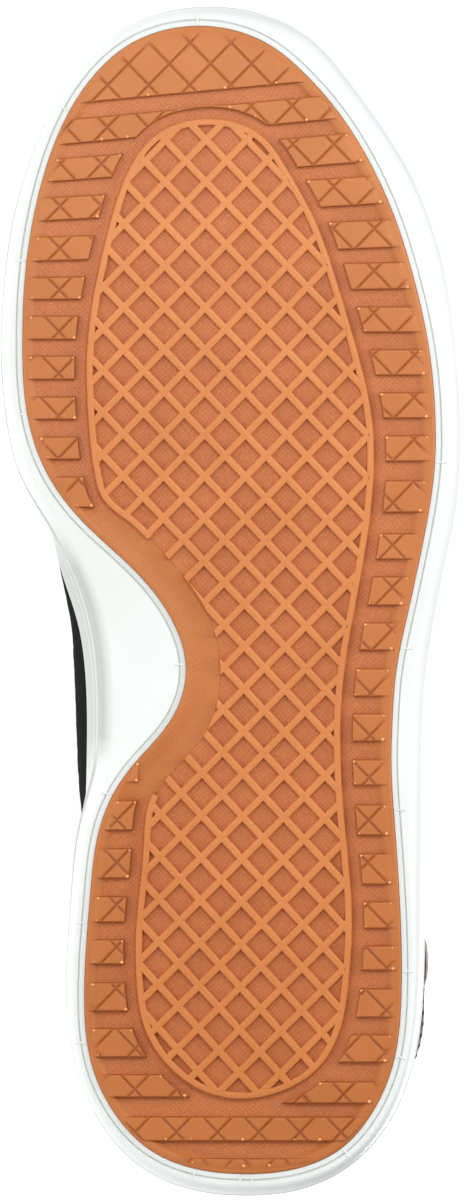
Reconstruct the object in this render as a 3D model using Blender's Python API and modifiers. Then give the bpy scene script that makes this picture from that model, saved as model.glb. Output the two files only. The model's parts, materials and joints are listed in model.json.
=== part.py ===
"""Left low sneaker lying on its inner side: gum outsole, white cup sole, black upper.

The shoe is worked out upright in millimetres: +X to the toe, +Y to the outer side, +Z up, tread at 0.
At the end every piece takes the pose in which the shoe lies at rest on its inner side.
"""
import math
from collections import namedtuple

import bmesh
import bpy
import numpy as np
from mathutils import Matrix, Vector

MM = 0.001

# Heights of the sole, from the tread up
TREAD_FLOOR = 2.2
POCKET_FLOOR = 2.0
PLATE_TOP = 4.2
TREAD_ROOT = 2.7
LIP_HEIGHT = 1.4
NEST_HEIGHT = 4.55
WALL_HEIGHT = 10.0
ARCH_RISE_SHARE = 0.15
TOE_SPRING = 9.0
SPRING_START = 200.0
SPRING_END = 298.0
SPRING_STEPS = 3

# Widths round the sole
SEAT_GAP = 0.3
LIP_WIDTH = 1.6
CORNER_RUN = 4.0
CORNER_STEPS = 3
LEAST_FLAT = 0.3
RIB_PROUD = 0.5
RIM_WALL = 2.0
BED_INSET = 4.0
BED_CLEARANCE = 0.45

# Upper, overlays, tongue, insole and laces
UPPER_WALL = 2.2
UPPER_LIFT = 0.5
RIB_PULL = 0.75
LOW_SWELL = 27 / 4
HIGH_SWELL = 256 / 27
OVERLAY_GAP = 0.4
OVERLAY_WALL = 1.0
INSOLE_INSET = 3.2
INSOLE_GAP = 0.4
TONGUE_GAP = 1.1
TONGUE_WALL = 4.5
TONGUE_TUCK = 8.0
TONGUE_ARCH = 3.0
TONGUE_ARCH_SPAN = 0.4
LACE_RADIUS = 1.7
LACE_CLEARANCE = 0.5
LACE_OVERLAP = 0.6
EDGE_LIFT = 0.4
CROWN_LIFT = 0.3
EYELET_RADIUS = 2.2
EYELET_SIDES = 5
EYELET_DEPTH = 14.0
EYELET_SET_IN = 8.0
EYELET_STATIONS = (1.08, 1.19, 1.3, 1.41, 1.52)

# Tread pattern
LATTICE_ALONG = 10.63
LATTICE_ACROSS = 10.3
LATTICE_BAR = 1.9
LATTICE_X = 254.0
LATTICE_Y = -13.5
RIM_WIDTH = 1.7
CHANNEL = 2.75
LUG_MARGIN = 1.0
LUG_REACH = 62.0
LEAST_CORNERS = 4
FIELD_POINTS = 60
CHANNEL_POINTS = 48
OPEN_ARCH_BACK = 101.0
OPEN_ARCH_FRONT = 170.0
OPEN_ARCH_INNER = -60.0
OPEN_ARCH_OUTER = 0.0

# How far the cutters of the tread reach past its face, each a little different
STRIP_PAST = 1.0
CHANNEL_PAST = 2.0
INSIDE_PAST = 1.5
ARCH_PAST = 1.8
ARCH_OVER = 0.5

# Densities for the balance of the shoe, in grams per cubic centimetre
GUM_DENSITY = 1.2
CUP_DENSITY = 1.2
LEATHER_DENSITY = 0.9
CLOTH_DENSITY = 0.3

# Rays from the spine to the outline: a fan at the toe, a row along each side, a fan at the heel
TOE_HUB = (248.0, -9.0)
HEEL_HUB = (46.0, 1.0)
FAN_STEPS = 7
SIDE_STEPS = 20
STATIONS_ROUND = 6.0
OUTLINE_POINTS = 700
RIB_SAMPLES = 81
SLOPE_STEP = 0.01

Tips = namedtuple("Tips", "toe heel")
Section = namedtuple("Section", "along inner outer")
LugRun = namedtuple("LugRun", "side first pitch count length")
Bar = namedtuple("Bar", "along length")
Rib = namedtuple("Rib", "station along outer inner up_outer up_inner slope swell_outer swell_inner pad")
Level = namedtuple("Level", "along up")

# Edge of the gum, with the deep cut of the arch on the inner side
GUM_TIPS = Tips((292.75, -10.0), (5.5, 1.0))
GUM = [
    Section(287.75, -28.75, 7.25),
    Section(281.5, -36.0, 15.0),
    Section(269.0, -44.25, 25.75),
    Section(256.5, -49.0, 33.25),
    Section(244.0, -52.0, 38.75),
    Section(231.5, -53.75, 42.75),
    Section(212.75, -54.5, 47.0),
    Section(194.0, -53.0, 48.75),
    Section(181.5, -48.75, 48.5),
    Section(169.0, -39.75, 46.75),
    Section(156.5, -26.5, 44.25),
    Section(144.0, -17.0, 41.5),
    Section(131.5, -13.5, 39.0),
    Section(119.0, -17.25, 38.0),
    Section(106.5, -27.75, 37.75),
    Section(94.0, -34.5, 38.5),
    Section(75.25, -37.5, 39.75),
    Section(50.25, -39.0, 40.25),
    Section(31.5, -36.75, 37.75),
    Section(19.0, -30.25, 31.75),
    Section(12.75, -24.25, 26.25),
]

# Widest line of the cup sole, a third of the way up its wall
WALL_TIPS = Tips((297.8, -8.5), (0.0, 1.5))
WALL = [
    Section(287.75, -36.5, 19.0),
    Section(281.5, -42.0, 24.5),
    Section(269.0, -49.5, 33.8),
    Section(256.5, -54.2, 41.6),
    Section(244.0, -57.5, 47.0),
    Section(231.5, -59.3, 50.6),
    Section(212.75, -60.4, 53.7),
    Section(194.0, -59.0, 55.2),
    Section(181.5, -56.0, 55.1),
    Section(169.0, -48.8, 53.8),
    Section(156.5, -42.0, 51.2),
    Section(144.0, -37.8, 48.8),
    Section(131.5, -36.0, 46.8),
    Section(119.0, -35.6, 45.8),
    Section(106.5, -36.6, 45.5),
    Section(94.0, -40.2, 45.5),
    Section(75.25, -42.7, 45.6),
    Section(50.25, -44.0, 45.6),
    Section(37.75, -42.8, 44.3),
    Section(25.25, -39.0, 40.0),
    Section(12.75, -31.5, 32.4),
    Section(6.5, -24.5, 25.5),
    Section(1.5, -13.0, 14.5),
]

# Top edge of the cup sole, which leans out over the arch and in elsewhere
RIM_TIPS = Tips((295.3, -8.5), (2.4, 1.5))
RIM = [
    Section(285.75, -33.8, 17.0),
    Section(279.5, -39.8, 23.0),
    Section(267.5, -47.4, 32.2),
    Section(256.5, -51.6, 39.2),
    Section(244.0, -55.0, 44.6),
    Section(231.5, -56.7, 48.2),
    Section(212.75, -57.8, 51.3),
    Section(194.0, -56.4, 52.8),
    Section(181.5, -53.4, 52.7),
    Section(169.0, -49.3, 51.5),
    Section(156.5, -45.8, 49.6),
    Section(144.0, -42.4, 47.2),
    Section(131.5, -40.3, 45.2),
    Section(119.0, -39.7, 44.4),
    Section(106.5, -39.8, 44.1),
    Section(94.0, -40.4, 43.6),
    Section(75.25, -40.5, 43.4),
    Section(50.25, -41.3, 43.4),
    Section(37.75, -40.2, 42.0),
    Section(25.25, -36.5, 37.8),
    Section(14.0, -29.5, 30.5),
    Section(8.0, -22.5, 24.0),
    Section(3.9, -12.0, 13.5),
]

# Outer edge of the rim round the lattice field
FIELD_TIPS = Tips((269.5, -8.75), (24.25, 0.75))
FIELD = [
    Section(264.5, -22.5, 6.0),
    Section(257.75, -27.5, 11.0),
    Section(244.0, -32.5, 18.6),
    Section(229.0, -36.0, 24.0),
    Section(214.0, -38.2, 28.5),
    Section(194.0, -38.0, 33.0),
    Section(180.25, -36.4, 33.4),
    Section(174.5, -34.5, 33.0),
    Section(168.25, -27.5, 32.3),
    Section(159.0, -18.75, 30.9),
    Section(147.5, -10.0, 28.8),
    Section(132.0, -5.75, 26.2),
    Section(116.5, -9.25, 25.1),
    Section(105.25, -18.75, 25.3),
    Section(100.0, -22.2, 25.6),
    Section(86.5, -24.25, 26.8),
    Section(67.75, -26.0, 28.0),
    Section(54.0, -26.0, 27.2),
    Section(41.5, -23.75, 25.0),
    Section(32.0, -17.5, 19.6),
    Section(26.0, -8.75, 10.0),
]

LUG_RUNS = [
    LugRun(1, 261.5, 10.65, 7, 6.6),
    LugRun(1, 187.0, 11.66, 10, 7.3),
    LugRun(1, 70.4, 11.03, 5, 7.1),
    LugRun(-1, 257.1, 10.0, 9, 6.4),
    LugRun(-1, 106.5, 11.25, 8, 7.3),
]
TOE_BARS = [Bar(288.2, 24.0), Bar(269.4, 6.5)]
HEEL_BARS = [Bar(16.75, 6.4), Bar(4.75, 9.5)]
TOE_BAR_TURN = 5.3
LUG_TURN_TOE = 262.0
LUG_TURN_NONE = 220.0
LUG_START = 2.0
TOE_BAR_MIDDLE = -9.0

# Heights of the bed of the cup and of its rim before the toe spring, and how thick the insole is
BED = [Level(0, 11.0), Level(80, 10.8), Level(150, 9.5), Level(205, 9.0), Level(300, 9.0)]
FOOTBED = [Level(0, 9.0), Level(80, 8.5), Level(150, 6.0), Level(205, 5.0), Level(300, 4.5)]
RIM_TOP = [Level(0, 31.0), Level(70, 29.0), Level(140, 27.2), Level(205, 26.0), Level(300, 28.0)]

# Shares of the height of the wall at which its two moulded ribs start, stand proud and end
WALL_RIBS = [
    (0.05, 0.0), (0.10, 1.0), (0.15, 0.0),
    (0.29, 0.0), (0.34, 1.0), (0.39, 0.0),
]

# Where each rib of the upper ends on the edge of throat and collar, its slope there and how far it swells
RIBS = [
    Rib(0.0, 205.0, -6.0, -6.0, 66.0, 66.0, 20, 0.0, 0.0, 0),
    Rib(0.375, 203.5, 2.0, -13.5, 66.5, 66.5, 22, 0.3, 0.3, 0),
    Rib(0.75, 198.0, 8.0, -18.5, 68.5, 68.5, 28, 0.6, 0.5, 0),
    Rib(1.04, 189.0, 11.0, -20.5, 72.0, 72.0, 34, 1.0, 0.8, 0),
    Rib(1.20, 172.0, 13.5, -21.5, 79.0, 79.5, 40, 1.8, 1.5, 0),
    Rib(1.36, 151.0, 16.5, -22.5, 88.0, 89.0, 46, 2.6, 4.2, 0),
    Rib(1.48, 134.0, 19.5, -24.0, 96.0, 97.0, 52, 3.0, 6.5, 0),
    Rib(1.56, 122.0, 22.5, -25.5, 101.0, 102.0, 58, 3.0, 7.5, 0.4),
    Rib(1.62, 113.0, 25.5, -27.0, 100.0, 101.0, 66, 2.8, 7.6, 1.2),
    Rib(1.70, 101.0, 29.0, -28.5, 89.5, 91.5, 74, 2.6, 6.0, 3.2),
    Rib(1.80, 85.0, 32.5, -30.5, 77.5, 79.5, 78, 2.4, 3.0, 5.0),
    Rib(1.92, 64.0, 34.5, -31.0, 72.5, 74.5, 78, 2.4, 0.5, 5.5),
    Rib(2.125, 43.0, 33.0, -29.5, 75.0, 76.0, 78, 2.2, 0.3, 5.0),
    Rib(2.5625, 21.0, 24.0, -21.0, 82.5, 82.5, 80, 1.8, 0.8, 3.5),
    Rib(3.0, 7.5, 1.5, 1.5, 89.0, 89.0, 82, 1.8, 1.8, 2.2),
]
UPPER_ROWS = (0.16, 0.4, 0.7)
EDGE_ROWS = 3

# Overlays on the upper, in stations round the shoe and shares of the rib's height
EYESTAY_END = 1 + 12 / SIDE_STEPS
EYESTAY_WIDTH = 17.0
COUNTER_FRONT = 1.86
COUNTER_LOW = 0.05
COUNTER_TOP = 0.62
COUNTER_ROWS = 4
COUNTER_TIP = 0.12
PATCH_STATIONS = (1.885, 1.915, 1.945, 1.975)
PATCH_ROWS = (0.36, 0.44, 0.52, 0.6)

# Sections of the tongue: stations under the throat, then steps beyond its top
TONGUE_STATIONS = (0.75, 1.0, 1.12, 1.24, 1.36, 1.46, 1.55)
TONGUE_FRONT_STEPS = (13.0, 6.5)
TONGUE_FRONT_FALL = 0.55
TONGUE_TOP_STEPS = (12.0, 22.0, 27.0)
TONGUE_TOP_WIDTHS = (1.0, 0.94, 0.78)


class RoundSpline:
    """Closed cubic through rows of values at rising knots."""

    def __init__(self, knots, values, period):
        self.knots = np.asarray(knots, float)
        self.values = np.asarray(values, float).reshape(len(self.knots), -1)
        self.period = period
        spans = np.diff(np.append(self.knots, self.knots[0] + period))
        before = np.roll(spans, 1)
        rise = (np.roll(self.values, -1, axis=0) - self.values) / spans[:, None]
        count = len(spans)
        system = np.zeros((count, count))
        for i in range(count):
            system[i, i - 1] += before[i]
            system[i, i] += 2 * (before[i] + spans[i])
            system[i, (i + 1) % count] += spans[i]
        self.bends = np.linalg.solve(system, 6 * (rise - np.roll(rise, 1, axis=0)))
        self.spans = spans

    def __call__(self, at):
        at = (np.asarray(at, float) - self.knots[0]) % self.period + self.knots[0]
        i = np.searchsorted(self.knots, at, side="right") - 1
        j = (i + 1) % len(self.knots)
        span = self.spans[i][:, None]
        b = (at - self.knots[i])[:, None]
        a = span - b
        bend_a = self.bends[i] * (a ** 3 / span - a * span) / 6
        bend_b = self.bends[j] * (b ** 3 / span - b * span) / 6
        return self.values[i] * a / span + self.values[j] * b / span + bend_a + bend_b


def outline(sections, tips):
    """Dense closed outline through a table of sections and its two tips."""
    outer = [(s.along, s.outer) for s in sections]
    inner = [(s.along, s.inner) for s in reversed(sections)]
    points = np.array([tips.toe] + outer + [tips.heel] + inner)
    steps = np.linalg.norm(np.roll(points, -1, axis=0) - points, axis=1)
    knots = np.concatenate([[0.0], np.cumsum(steps)[:-1]])
    spline = RoundSpline(knots, points, steps.sum())
    return spline(np.linspace(0, steps.sum(), OUTLINE_POINTS, endpoint=False))


def resampled(points, count):
    """The closed outline again as this many evenly spaced points."""
    closed = np.vstack([points, points[:1]])
    run = np.concatenate([[0.0], np.cumsum(np.linalg.norm(np.diff(closed, axis=0), axis=1))])
    at = np.linspace(0, run[-1], count, endpoint=False)
    return np.column_stack([np.interp(at, run, closed[:, k]) for k in range(2)])


def moved_out(points, distance):
    """The closed outline moved outwards by this distance, or inwards where it is negative."""
    along = np.roll(points, -1, axis=0) - np.roll(points, 1, axis=0)
    along /= np.linalg.norm(along, axis=1)[:, None]
    return points + distance * np.column_stack([along[:, 1], -along[:, 0]])


def ray(station):
    """Start and direction of the ray at a station: 0 toe, 1 to 2 outer side, 3 heel, 4 to 5 inner side."""
    side = 1 if station <= 3 else -1
    turn = station if station <= 3 else STATIONS_ROUND - station
    toe, heel = np.array(TOE_HUB), np.array(HEEL_HUB)
    if turn <= 1:
        angle = turn * math.pi / 2
        return toe, np.array([math.cos(angle), side * math.sin(angle)])
    if turn < 2:
        return toe + (turn - 1) * (heel - toe), np.array([0.0, side])
    angle = (turn - 1) * math.pi / 2
    return heel, np.array([math.cos(angle), side * math.sin(angle)])


def crossed(station, points):
    """Where the ray of a station meets a dense outline."""
    start, way = ray(station)
    ends = np.roll(points, -1, axis=0) - points
    offset = points - start
    cross = way[0] * ends[:, 1] - way[1] * ends[:, 0]
    cross = np.where(abs(cross) < 1e-9, 1e-9, cross)
    reach = (offset[:, 0] * ends[:, 1] - offset[:, 1] * ends[:, 0]) / cross
    share = (offset[:, 0] * way[1] - offset[:, 1] * way[0]) / cross
    hits = reach[(share >= 0) & (share < 1) & (reach > 0)]
    return start + way * hits.max()


def spring(along):
    """Lift of the toe, in straight steps."""
    breaks = np.linspace(SPRING_START, SPRING_END, SPRING_STEPS + 1)
    lift = TOE_SPRING * ((breaks - SPRING_START) / (SPRING_END - SPRING_START)) ** 2
    return np.interp(along, breaks, lift)


def level(rows, along):
    return np.interp(along, [r.along for r in rows], [r.up for r in rows])


def raised(points, up):
    """Plan points at heights above the tread, lifted by the toe spring."""
    return np.column_stack([points, np.zeros(len(points)) + up + spring(points[:, 0])])


def ring_stations():
    fan = np.linspace(0, 1, FAN_STEPS, endpoint=False)
    side = 1 + np.linspace(0, 1, SIDE_STEPS, endpoint=False)
    half = np.concatenate([fan, side, 2 + fan])
    return np.concatenate([half, [3.0], STATIONS_ROUND - half[:0:-1]])


STATIONS = ring_stations()
COUNT = len(STATIONS)


def collection(name):
    made = bpy.data.collections.new(name)
    bpy.context.scene.collection.children.link(made)
    return made


def clear_scene():
    for obj in list(bpy.data.objects):
        bpy.data.objects.remove(obj)


def surface(name, color, roughness):
    made = bpy.data.materials.new(name)
    made.use_nodes = True
    shader = made.node_tree.nodes["Principled BSDF"]
    shader.inputs["Base Color"].default_value = (*color, 1.0)
    shader.inputs["Roughness"].default_value = roughness
    shader.inputs["Metallic"].default_value = 0.0
    return made


def object_from(name, shape, home, material=None):
    """A mesh object from a bmesh in millimetres."""
    bmesh.ops.scale(shape, vec=(MM, MM, MM), verts=shape.verts)
    mesh = bpy.data.meshes.new(name)
    shape.to_mesh(mesh)
    shape.free()
    if material:
        mesh.materials.append(material)
    made = bpy.data.objects.new(name, mesh)
    home.objects.link(made)
    return made


def cutter_from(name, shape):
    made = object_from(name, shape, cutters)
    made.hide_render = True
    made.display_type = "WIRE"
    return made


def add_prism(shape, points, low, high):
    """A straight prism on a plan outline, added to a bmesh."""
    base = [shape.verts.new((x, y, low)) for x, y in points]
    top = [shape.verts.new((x, y, high)) for x, y in points]
    shape.faces.new(base)
    shape.faces.new(top)
    for i in range(len(base)):
        j = (i + 1) % len(base)
        shape.faces.new((base[i], base[j], top[j], top[i]))


def prism(points, low, high):
    shape = bmesh.new()
    add_prism(shape, points, low, high)
    bmesh.ops.recalc_face_normals(shape, faces=shape.faces)
    return shape


def combine(obj, other, operation):
    step = obj.modifiers.new(other.name, "BOOLEAN")
    step.operation = operation
    step.solver = "EXACT"
    step.object = other


def baked(obj):
    """Replaces an object's mesh by what its modifiers make of it."""
    bpy.context.view_layer.update()
    graph = bpy.context.evaluated_depsgraph_get()
    mesh = bpy.data.meshes.new_from_object(obj.evaluated_get(graph))
    obj.modifiers.clear()
    obj.data = mesh


def drop(*objects):
    for obj in objects:
        bpy.data.objects.remove(obj)


def add_rings(shape, rings):
    """Quads between closed rings of equal count. Returns the rings of vertices."""
    rows = [[shape.verts.new(p) for p in ring] for ring in rings]
    for low, high in zip(rows, rows[1:]):
        for i in range(len(low)):
            j = (i + 1) % len(low)
            shape.faces.new((low[i], low[j], high[j], high[i]))
    return rows


def add_seat_wall(shape, above, below):
    """Triangles between a ring and the one below it, split alike on the cup and on the upper in it."""
    for i in range(len(above)):
        j = (i + 1) % len(above)
        shape.faces.new((above[i], above[j], below[j]))
        shape.faces.new((above[i], below[j], below[i]))


def bridge(shape, row):
    """Closes a ring with strips straight across the shoe."""
    half = len(row) // 2
    for i in range(half):
        a, b = row[i], row[i + 1]
        c, d = row[-i - 1], row[-i] if i else None
        corners = [a, b] + ([c] if c is not b else []) + ([d] if d else [])
        shape.faces.new(corners)


def add_sheet(shape, rows):
    """Quads on a grid of points that isn't closed."""
    grid = [[shape.verts.new(p) for p in row] for row in rows]
    for low, high in zip(grid, grid[1:]):
        for i in range(len(low) - 1):
            shape.faces.new((low[i], low[i + 1], high[i + 1], high[i]))
    return grid


def thicken(obj, wall):
    step = obj.modifiers.new("wall", "SOLIDIFY")
    step.thickness = wall * MM
    step.offset = -1.0
    step.use_even_offset = True


gum_line = outline(GUM, GUM_TIPS)
wall_line = outline(WALL, WALL_TIPS)
rim_line = outline(RIM, RIM_TIPS)
field_line = outline(FIELD, FIELD_TIPS)
gum_ring = np.array([crossed(s, gum_line) for s in STATIONS])
wall_ring = np.array([crossed(s, wall_line) for s in STATIONS])
rim_ring = np.array([crossed(s, rim_line) for s in STATIONS])


def strip(shape, along, across, length, turn):
    """A box across the shoe, turned a little, that cuts one lug from the lug ring."""
    c, s = math.cos(turn), math.sin(turn)
    corners = [(-1, -1), (1, -1), (1, 1), (-1, 1)]
    box = []
    for u, v in corners:
        x, y = u * length / 2, v * LUG_REACH / 2
        box.append((along + c * x + s * y, across - s * x + c * y))
    add_prism(shape, box, -STRIP_PAST, PLATE_TOP)


def lug_strips():
    shape = bmesh.new()
    for run in LUG_RUNS:
        for k in range(run.count):
            along = run.first - k * run.pitch
            turn = math.radians(np.interp(along, [LUG_TURN_NONE, LUG_TURN_TOE], [0, TOE_BAR_TURN]))
            strip(shape, along, run.side * (LUG_REACH / 2 + LUG_START), run.length, turn)
    for bar in TOE_BARS:
        turn = math.radians(TOE_BAR_TURN)
        for side in (-1, 1):
            half = side * LUG_REACH / 2
            strip(shape, bar.along + half * math.tan(turn), TOE_BAR_MIDDLE + half, bar.length, turn)
    for bar in HEEL_BARS:
        for side in (-1, 1):
            strip(shape, bar.along, side * LUG_REACH / 2, bar.length, 0.0)
    bmesh.ops.remove_doubles(shape, verts=shape.verts, dist=0.001)
    inner = [f for f in shape.faces if all(len(e.link_faces) > 2 for e in f.edges)]
    bmesh.ops.delete(shape, geom=inner, context="FACES")
    bmesh.ops.recalc_face_normals(shape, faces=shape.faces)
    return shape


def encloses(points, x, y):
    """Whether a closed outline lies round a plan point."""
    ends = np.roll(points, -1, axis=0)
    spans = (points[:, 1] > y) != (ends[:, 1] > y)
    rise = np.where(spans, ends[:, 1] - points[:, 1], 1.0)
    at = points[:, 0] + (y - points[:, 1]) / rise * (ends[:, 0] - points[:, 0])
    return bool(np.sum(spans & (at > x)) % 2)


def lattice_pockets():
    """Diamond pockets between the bars of the lattice, over the whole field."""
    shape = bmesh.new()
    bar = LATTICE_BAR / 2
    grow = math.hypot(LATTICE_ALONG, LATTICE_ACROSS) / 2
    half_along = LATTICE_ALONG / 2 - bar * grow / (LATTICE_ACROSS / 2)
    half_across = LATTICE_ACROSS / 2 - bar * grow / (LATTICE_ALONG / 2)
    inside = moved_out(field_line, -RIM_WIDTH)
    length = np.ptp(field_line[:, 0])
    rows = range(-2, int(length / LATTICE_ALONG * 2) + 3)
    reach = int(np.abs(field_line[:, 1] - LATTICE_Y).max() / LATTICE_ACROSS) + 2
    columns = range(-reach, reach + 1)
    for row in rows:
        along = LATTICE_X - row * LATTICE_ALONG / 2
        for column in columns:
            across = LATTICE_Y + (column + 0.5 * (row % 2)) * LATTICE_ACROSS
            diamond = [
                (along + half_along, across), (along, across + half_across),
                (along - half_along, across), (along, across - half_across),
            ]
            if sum(encloses(inside, *corner) for corner in diamond) >= LEAST_CORNERS:
                add_prism(shape, diamond, -STRIP_PAST, POCKET_FLOOR)
    bmesh.ops.recalc_face_normals(shape, faces=shape.faces)
    return shape


def bent(obj):
    """Cuts a flat mesh across at each step of the toe spring and lifts its points."""
    shape = bmesh.new()
    shape.from_mesh(obj.data)
    for along in np.linspace(SPRING_START, SPRING_END, SPRING_STEPS + 1)[:-1]:
        everything = shape.verts[:] + shape.edges[:] + shape.faces[:]
        bmesh.ops.bisect_plane(
            shape, geom=everything, dist=1e-7, plane_co=(along * MM, 0, 0), plane_no=(1, 0, 0)
        )
    for vert in shape.verts:
        vert.co.z += float(spring(vert.co.x / MM)) * MM
    shape.to_mesh(obj.data)
    shape.free()


def build_outsole():
    made = object_from("outsole", prism(gum_ring, TREAD_FLOOR, PLATE_TOP), parts, gum)
    lugs = cutter_from("lugs", prism(moved_out(gum_ring, -LUG_MARGIN), 0.0, TREAD_ROOT))
    strips = cutter_from("lug_strips", lug_strips())
    channel_ring = moved_out(resampled(field_line, CHANNEL_POINTS), CHANNEL)
    channel = cutter_from("channel", prism(channel_ring, -CHANNEL_PAST, PLATE_TOP))
    combine(lugs, strips, "INTERSECT")
    combine(lugs, channel, "DIFFERENCE")
    field_ring = resampled(field_line, FIELD_POINTS)
    field = cutter_from("field", prism(field_ring, 0.0, TREAD_ROOT))
    pockets = cutter_from("pockets", lattice_pockets())
    inside = cutter_from("inside_rim", prism(moved_out(field_ring, -RIM_WIDTH), -INSIDE_PAST, PLATE_TOP))
    window = [
        (OPEN_ARCH_BACK, OPEN_ARCH_INNER), (OPEN_ARCH_FRONT, OPEN_ARCH_INNER),
        (OPEN_ARCH_FRONT, OPEN_ARCH_OUTER), (OPEN_ARCH_BACK, OPEN_ARCH_OUTER),
    ]
    arch = cutter_from("open_arch", prism(window, -ARCH_PAST, PLATE_TOP + ARCH_OVER))
    combine(inside, arch, "UNION")
    combine(pockets, inside, "INTERSECT")
    combine(field, pockets, "DIFFERENCE")
    for step in (lugs, field):
        combine(made, step, "UNION")
    baked(made)
    drop(lugs, strips, channel, field, pockets, inside, arch)
    bent(made)
    return made


def build_midsole():
    nest = moved_out(gum_ring, SEAT_GAP)
    lip = moved_out(gum_ring, SEAT_GAP + LIP_WIDTH)
    out = wall_ring - lip
    run = np.linalg.norm(out, axis=1)
    out /= run[:, None]
    flat = np.maximum(run - CORNER_RUN, LEAST_FLAT)
    rise = ARCH_RISE_SHARE * np.maximum(run - CORNER_RUN, 0.0)
    corner = lip + out * flat[:, None]
    rings = [raised(nest, NEST_HEIGHT), raised(nest, LIP_HEIGHT), raised(lip, LIP_HEIGHT)]
    for k in range(CORNER_STEPS + 1):
        angle = math.pi / 2 * k / CORNER_STEPS
        across = corner + out * ((run - flat) * math.sin(angle))[:, None]
        foot = LIP_HEIGHT + rise
        rings.append(raised(across, foot + (WALL_HEIGHT - foot) * (1 - math.cos(angle))))
    base = raised(wall_ring, WALL_HEIGHT)
    rim_up = level(RIM_TOP, rim_ring[:, 0])
    top = raised(rim_ring, rim_up)
    proud = moved_out(wall_ring, RIB_PROUD) - wall_ring
    proud = np.column_stack([proud, np.zeros(COUNT)])
    for share, stands in WALL_RIBS:
        rings.append(base + share * (top - base) + stands * proud)
    rings.append(top)
    rings.append(raised(moved_out(rim_ring, -RIM_WALL), rim_up))
    edge = moved_out(wall_ring, -BED_INSET)
    shape = bmesh.new()
    rows = add_rings(shape, rings)
    bed = [shape.verts.new(p) for p in raised(edge, level(BED, edge[:, 0]))]
    add_seat_wall(shape, rows[-1], bed)
    bridge(shape, rows[0])
    bridge(shape, bed)
    bmesh.ops.recalc_face_normals(shape, faces=shape.faces)
    return object_from("midsole", shape, parts, white)


def build_insole():
    edge = moved_out(wall_ring, -BED_INSET - INSOLE_INSET)
    bed = level(BED, edge[:, 0]) + INSOLE_GAP
    shape = bmesh.new()
    rows = add_rings(shape, [raised(edge, bed), raised(edge, bed + level(FOOTBED, edge[:, 0]))])
    bridge(shape, rows[0])
    bridge(shape, rows[-1])
    bmesh.ops.recalc_face_normals(shape, faces=shape.faces)
    return object_from("insole", shape, parts, liner)


def rib_columns():
    """Knots and values of the rib table round the whole shoe."""
    knots, values = [], []
    for rib in RIBS:
        knots.append(rib.station)
        values.append((rib.along, rib.outer, rib.up_outer, rib.slope, rib.swell_outer, rib.pad))
    for rib in reversed(RIBS[1:-1]):
        knots.append(STATIONS_ROUND - rib.station)
        values.append((rib.along, rib.inner, rib.up_inner, rib.slope, rib.swell_inner, rib.pad))
    return knots, values


seat_ring = moved_out(rim_ring, -RIM_WALL - SEAT_GAP)
seat = RoundSpline(
    STATIONS, raised(seat_ring, level(RIM_TOP, rim_ring[:, 0]) + UPPER_LIFT), STATIONS_ROUND
)
edge_of = RoundSpline(*rib_columns(), STATIONS_ROUND)


def upper_point(stations, shares):
    """Points of the upper's outer face at stations round the shoe and shares of the rib's height."""
    stations = np.asarray(stations, float)
    v = np.asarray(shares, float)[:, None] if np.ndim(shares) else np.full((len(stations), 1), shares)
    foot = seat(stations)
    column = edge_of(stations)
    edge, slope = column[:, :3], np.radians(column[:, 3:4])
    swell = column[:, 4:5] * LOW_SWELL * v * (1 - v) ** 2 + column[:, 5:6] * HIGH_SWELL * v ** 3 * (1 - v)
    inward = edge[:, :2] - foot[:, :2]
    inward /= np.linalg.norm(inward, axis=1)[:, None]
    pull = RIB_PULL * np.linalg.norm(edge - foot, axis=1)[:, None]
    leave = np.hstack([np.zeros((len(stations), 2)), pull])
    arrive = pull * np.hstack([inward * np.cos(slope), np.sin(slope)])
    out = np.array([ray(s % STATIONS_ROUND)[1] for s in stations])
    bulge = np.hstack([out * swell, np.zeros((len(stations), 1))])
    base = (2 * v ** 3 - 3 * v ** 2 + 1) * foot + (v ** 3 - 2 * v ** 2 + v) * leave
    base += (3 * v ** 2 - 2 * v ** 3) * edge + (v ** 3 - v ** 2) * arrive
    return base + bulge


def upper_normal(stations, shares):
    """Outward directions of the upper's outer face."""
    stations = np.asarray(stations, float)
    shares = np.zeros(len(stations)) + shares
    low, high = np.maximum(shares - SLOPE_STEP, 0.0), np.minimum(shares + SLOPE_STEP, 1.0)
    along = upper_point(stations + SLOPE_STEP, shares) - upper_point(stations - SLOPE_STEP, shares)
    up = upper_point(stations, high) - upper_point(stations, low)
    out = np.cross(along, up)
    return out / np.linalg.norm(out, axis=1)[:, None]


def upper_offset(stations, shares, distance):
    return upper_point(stations, shares) + distance * upper_normal(stations, shares)


def share_below_edge(stations, distance):
    """Shares of the rib's height that lie this far below the edge of the throat."""
    shares = np.linspace(0, 1, RIB_SAMPLES)
    found = []
    for station in stations:
        points = upper_point(np.full(len(shares), station), shares)
        steps = np.linalg.norm(np.diff(points, axis=0), axis=1)
        below = np.concatenate([[0.0], np.cumsum(steps[::-1])])[::-1]
        found.append(np.interp(-distance, -below, shares))
    return np.array(found)


def edge_rows(stations):
    """Shares of the rows in the band along the edge of throat and collar, lowest first."""
    low = share_below_edge(stations, EYESTAY_WIDTH)
    return [low + (1 - low) * k / (EDGE_ROWS - 1) for k in range(EDGE_ROWS)]


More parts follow.
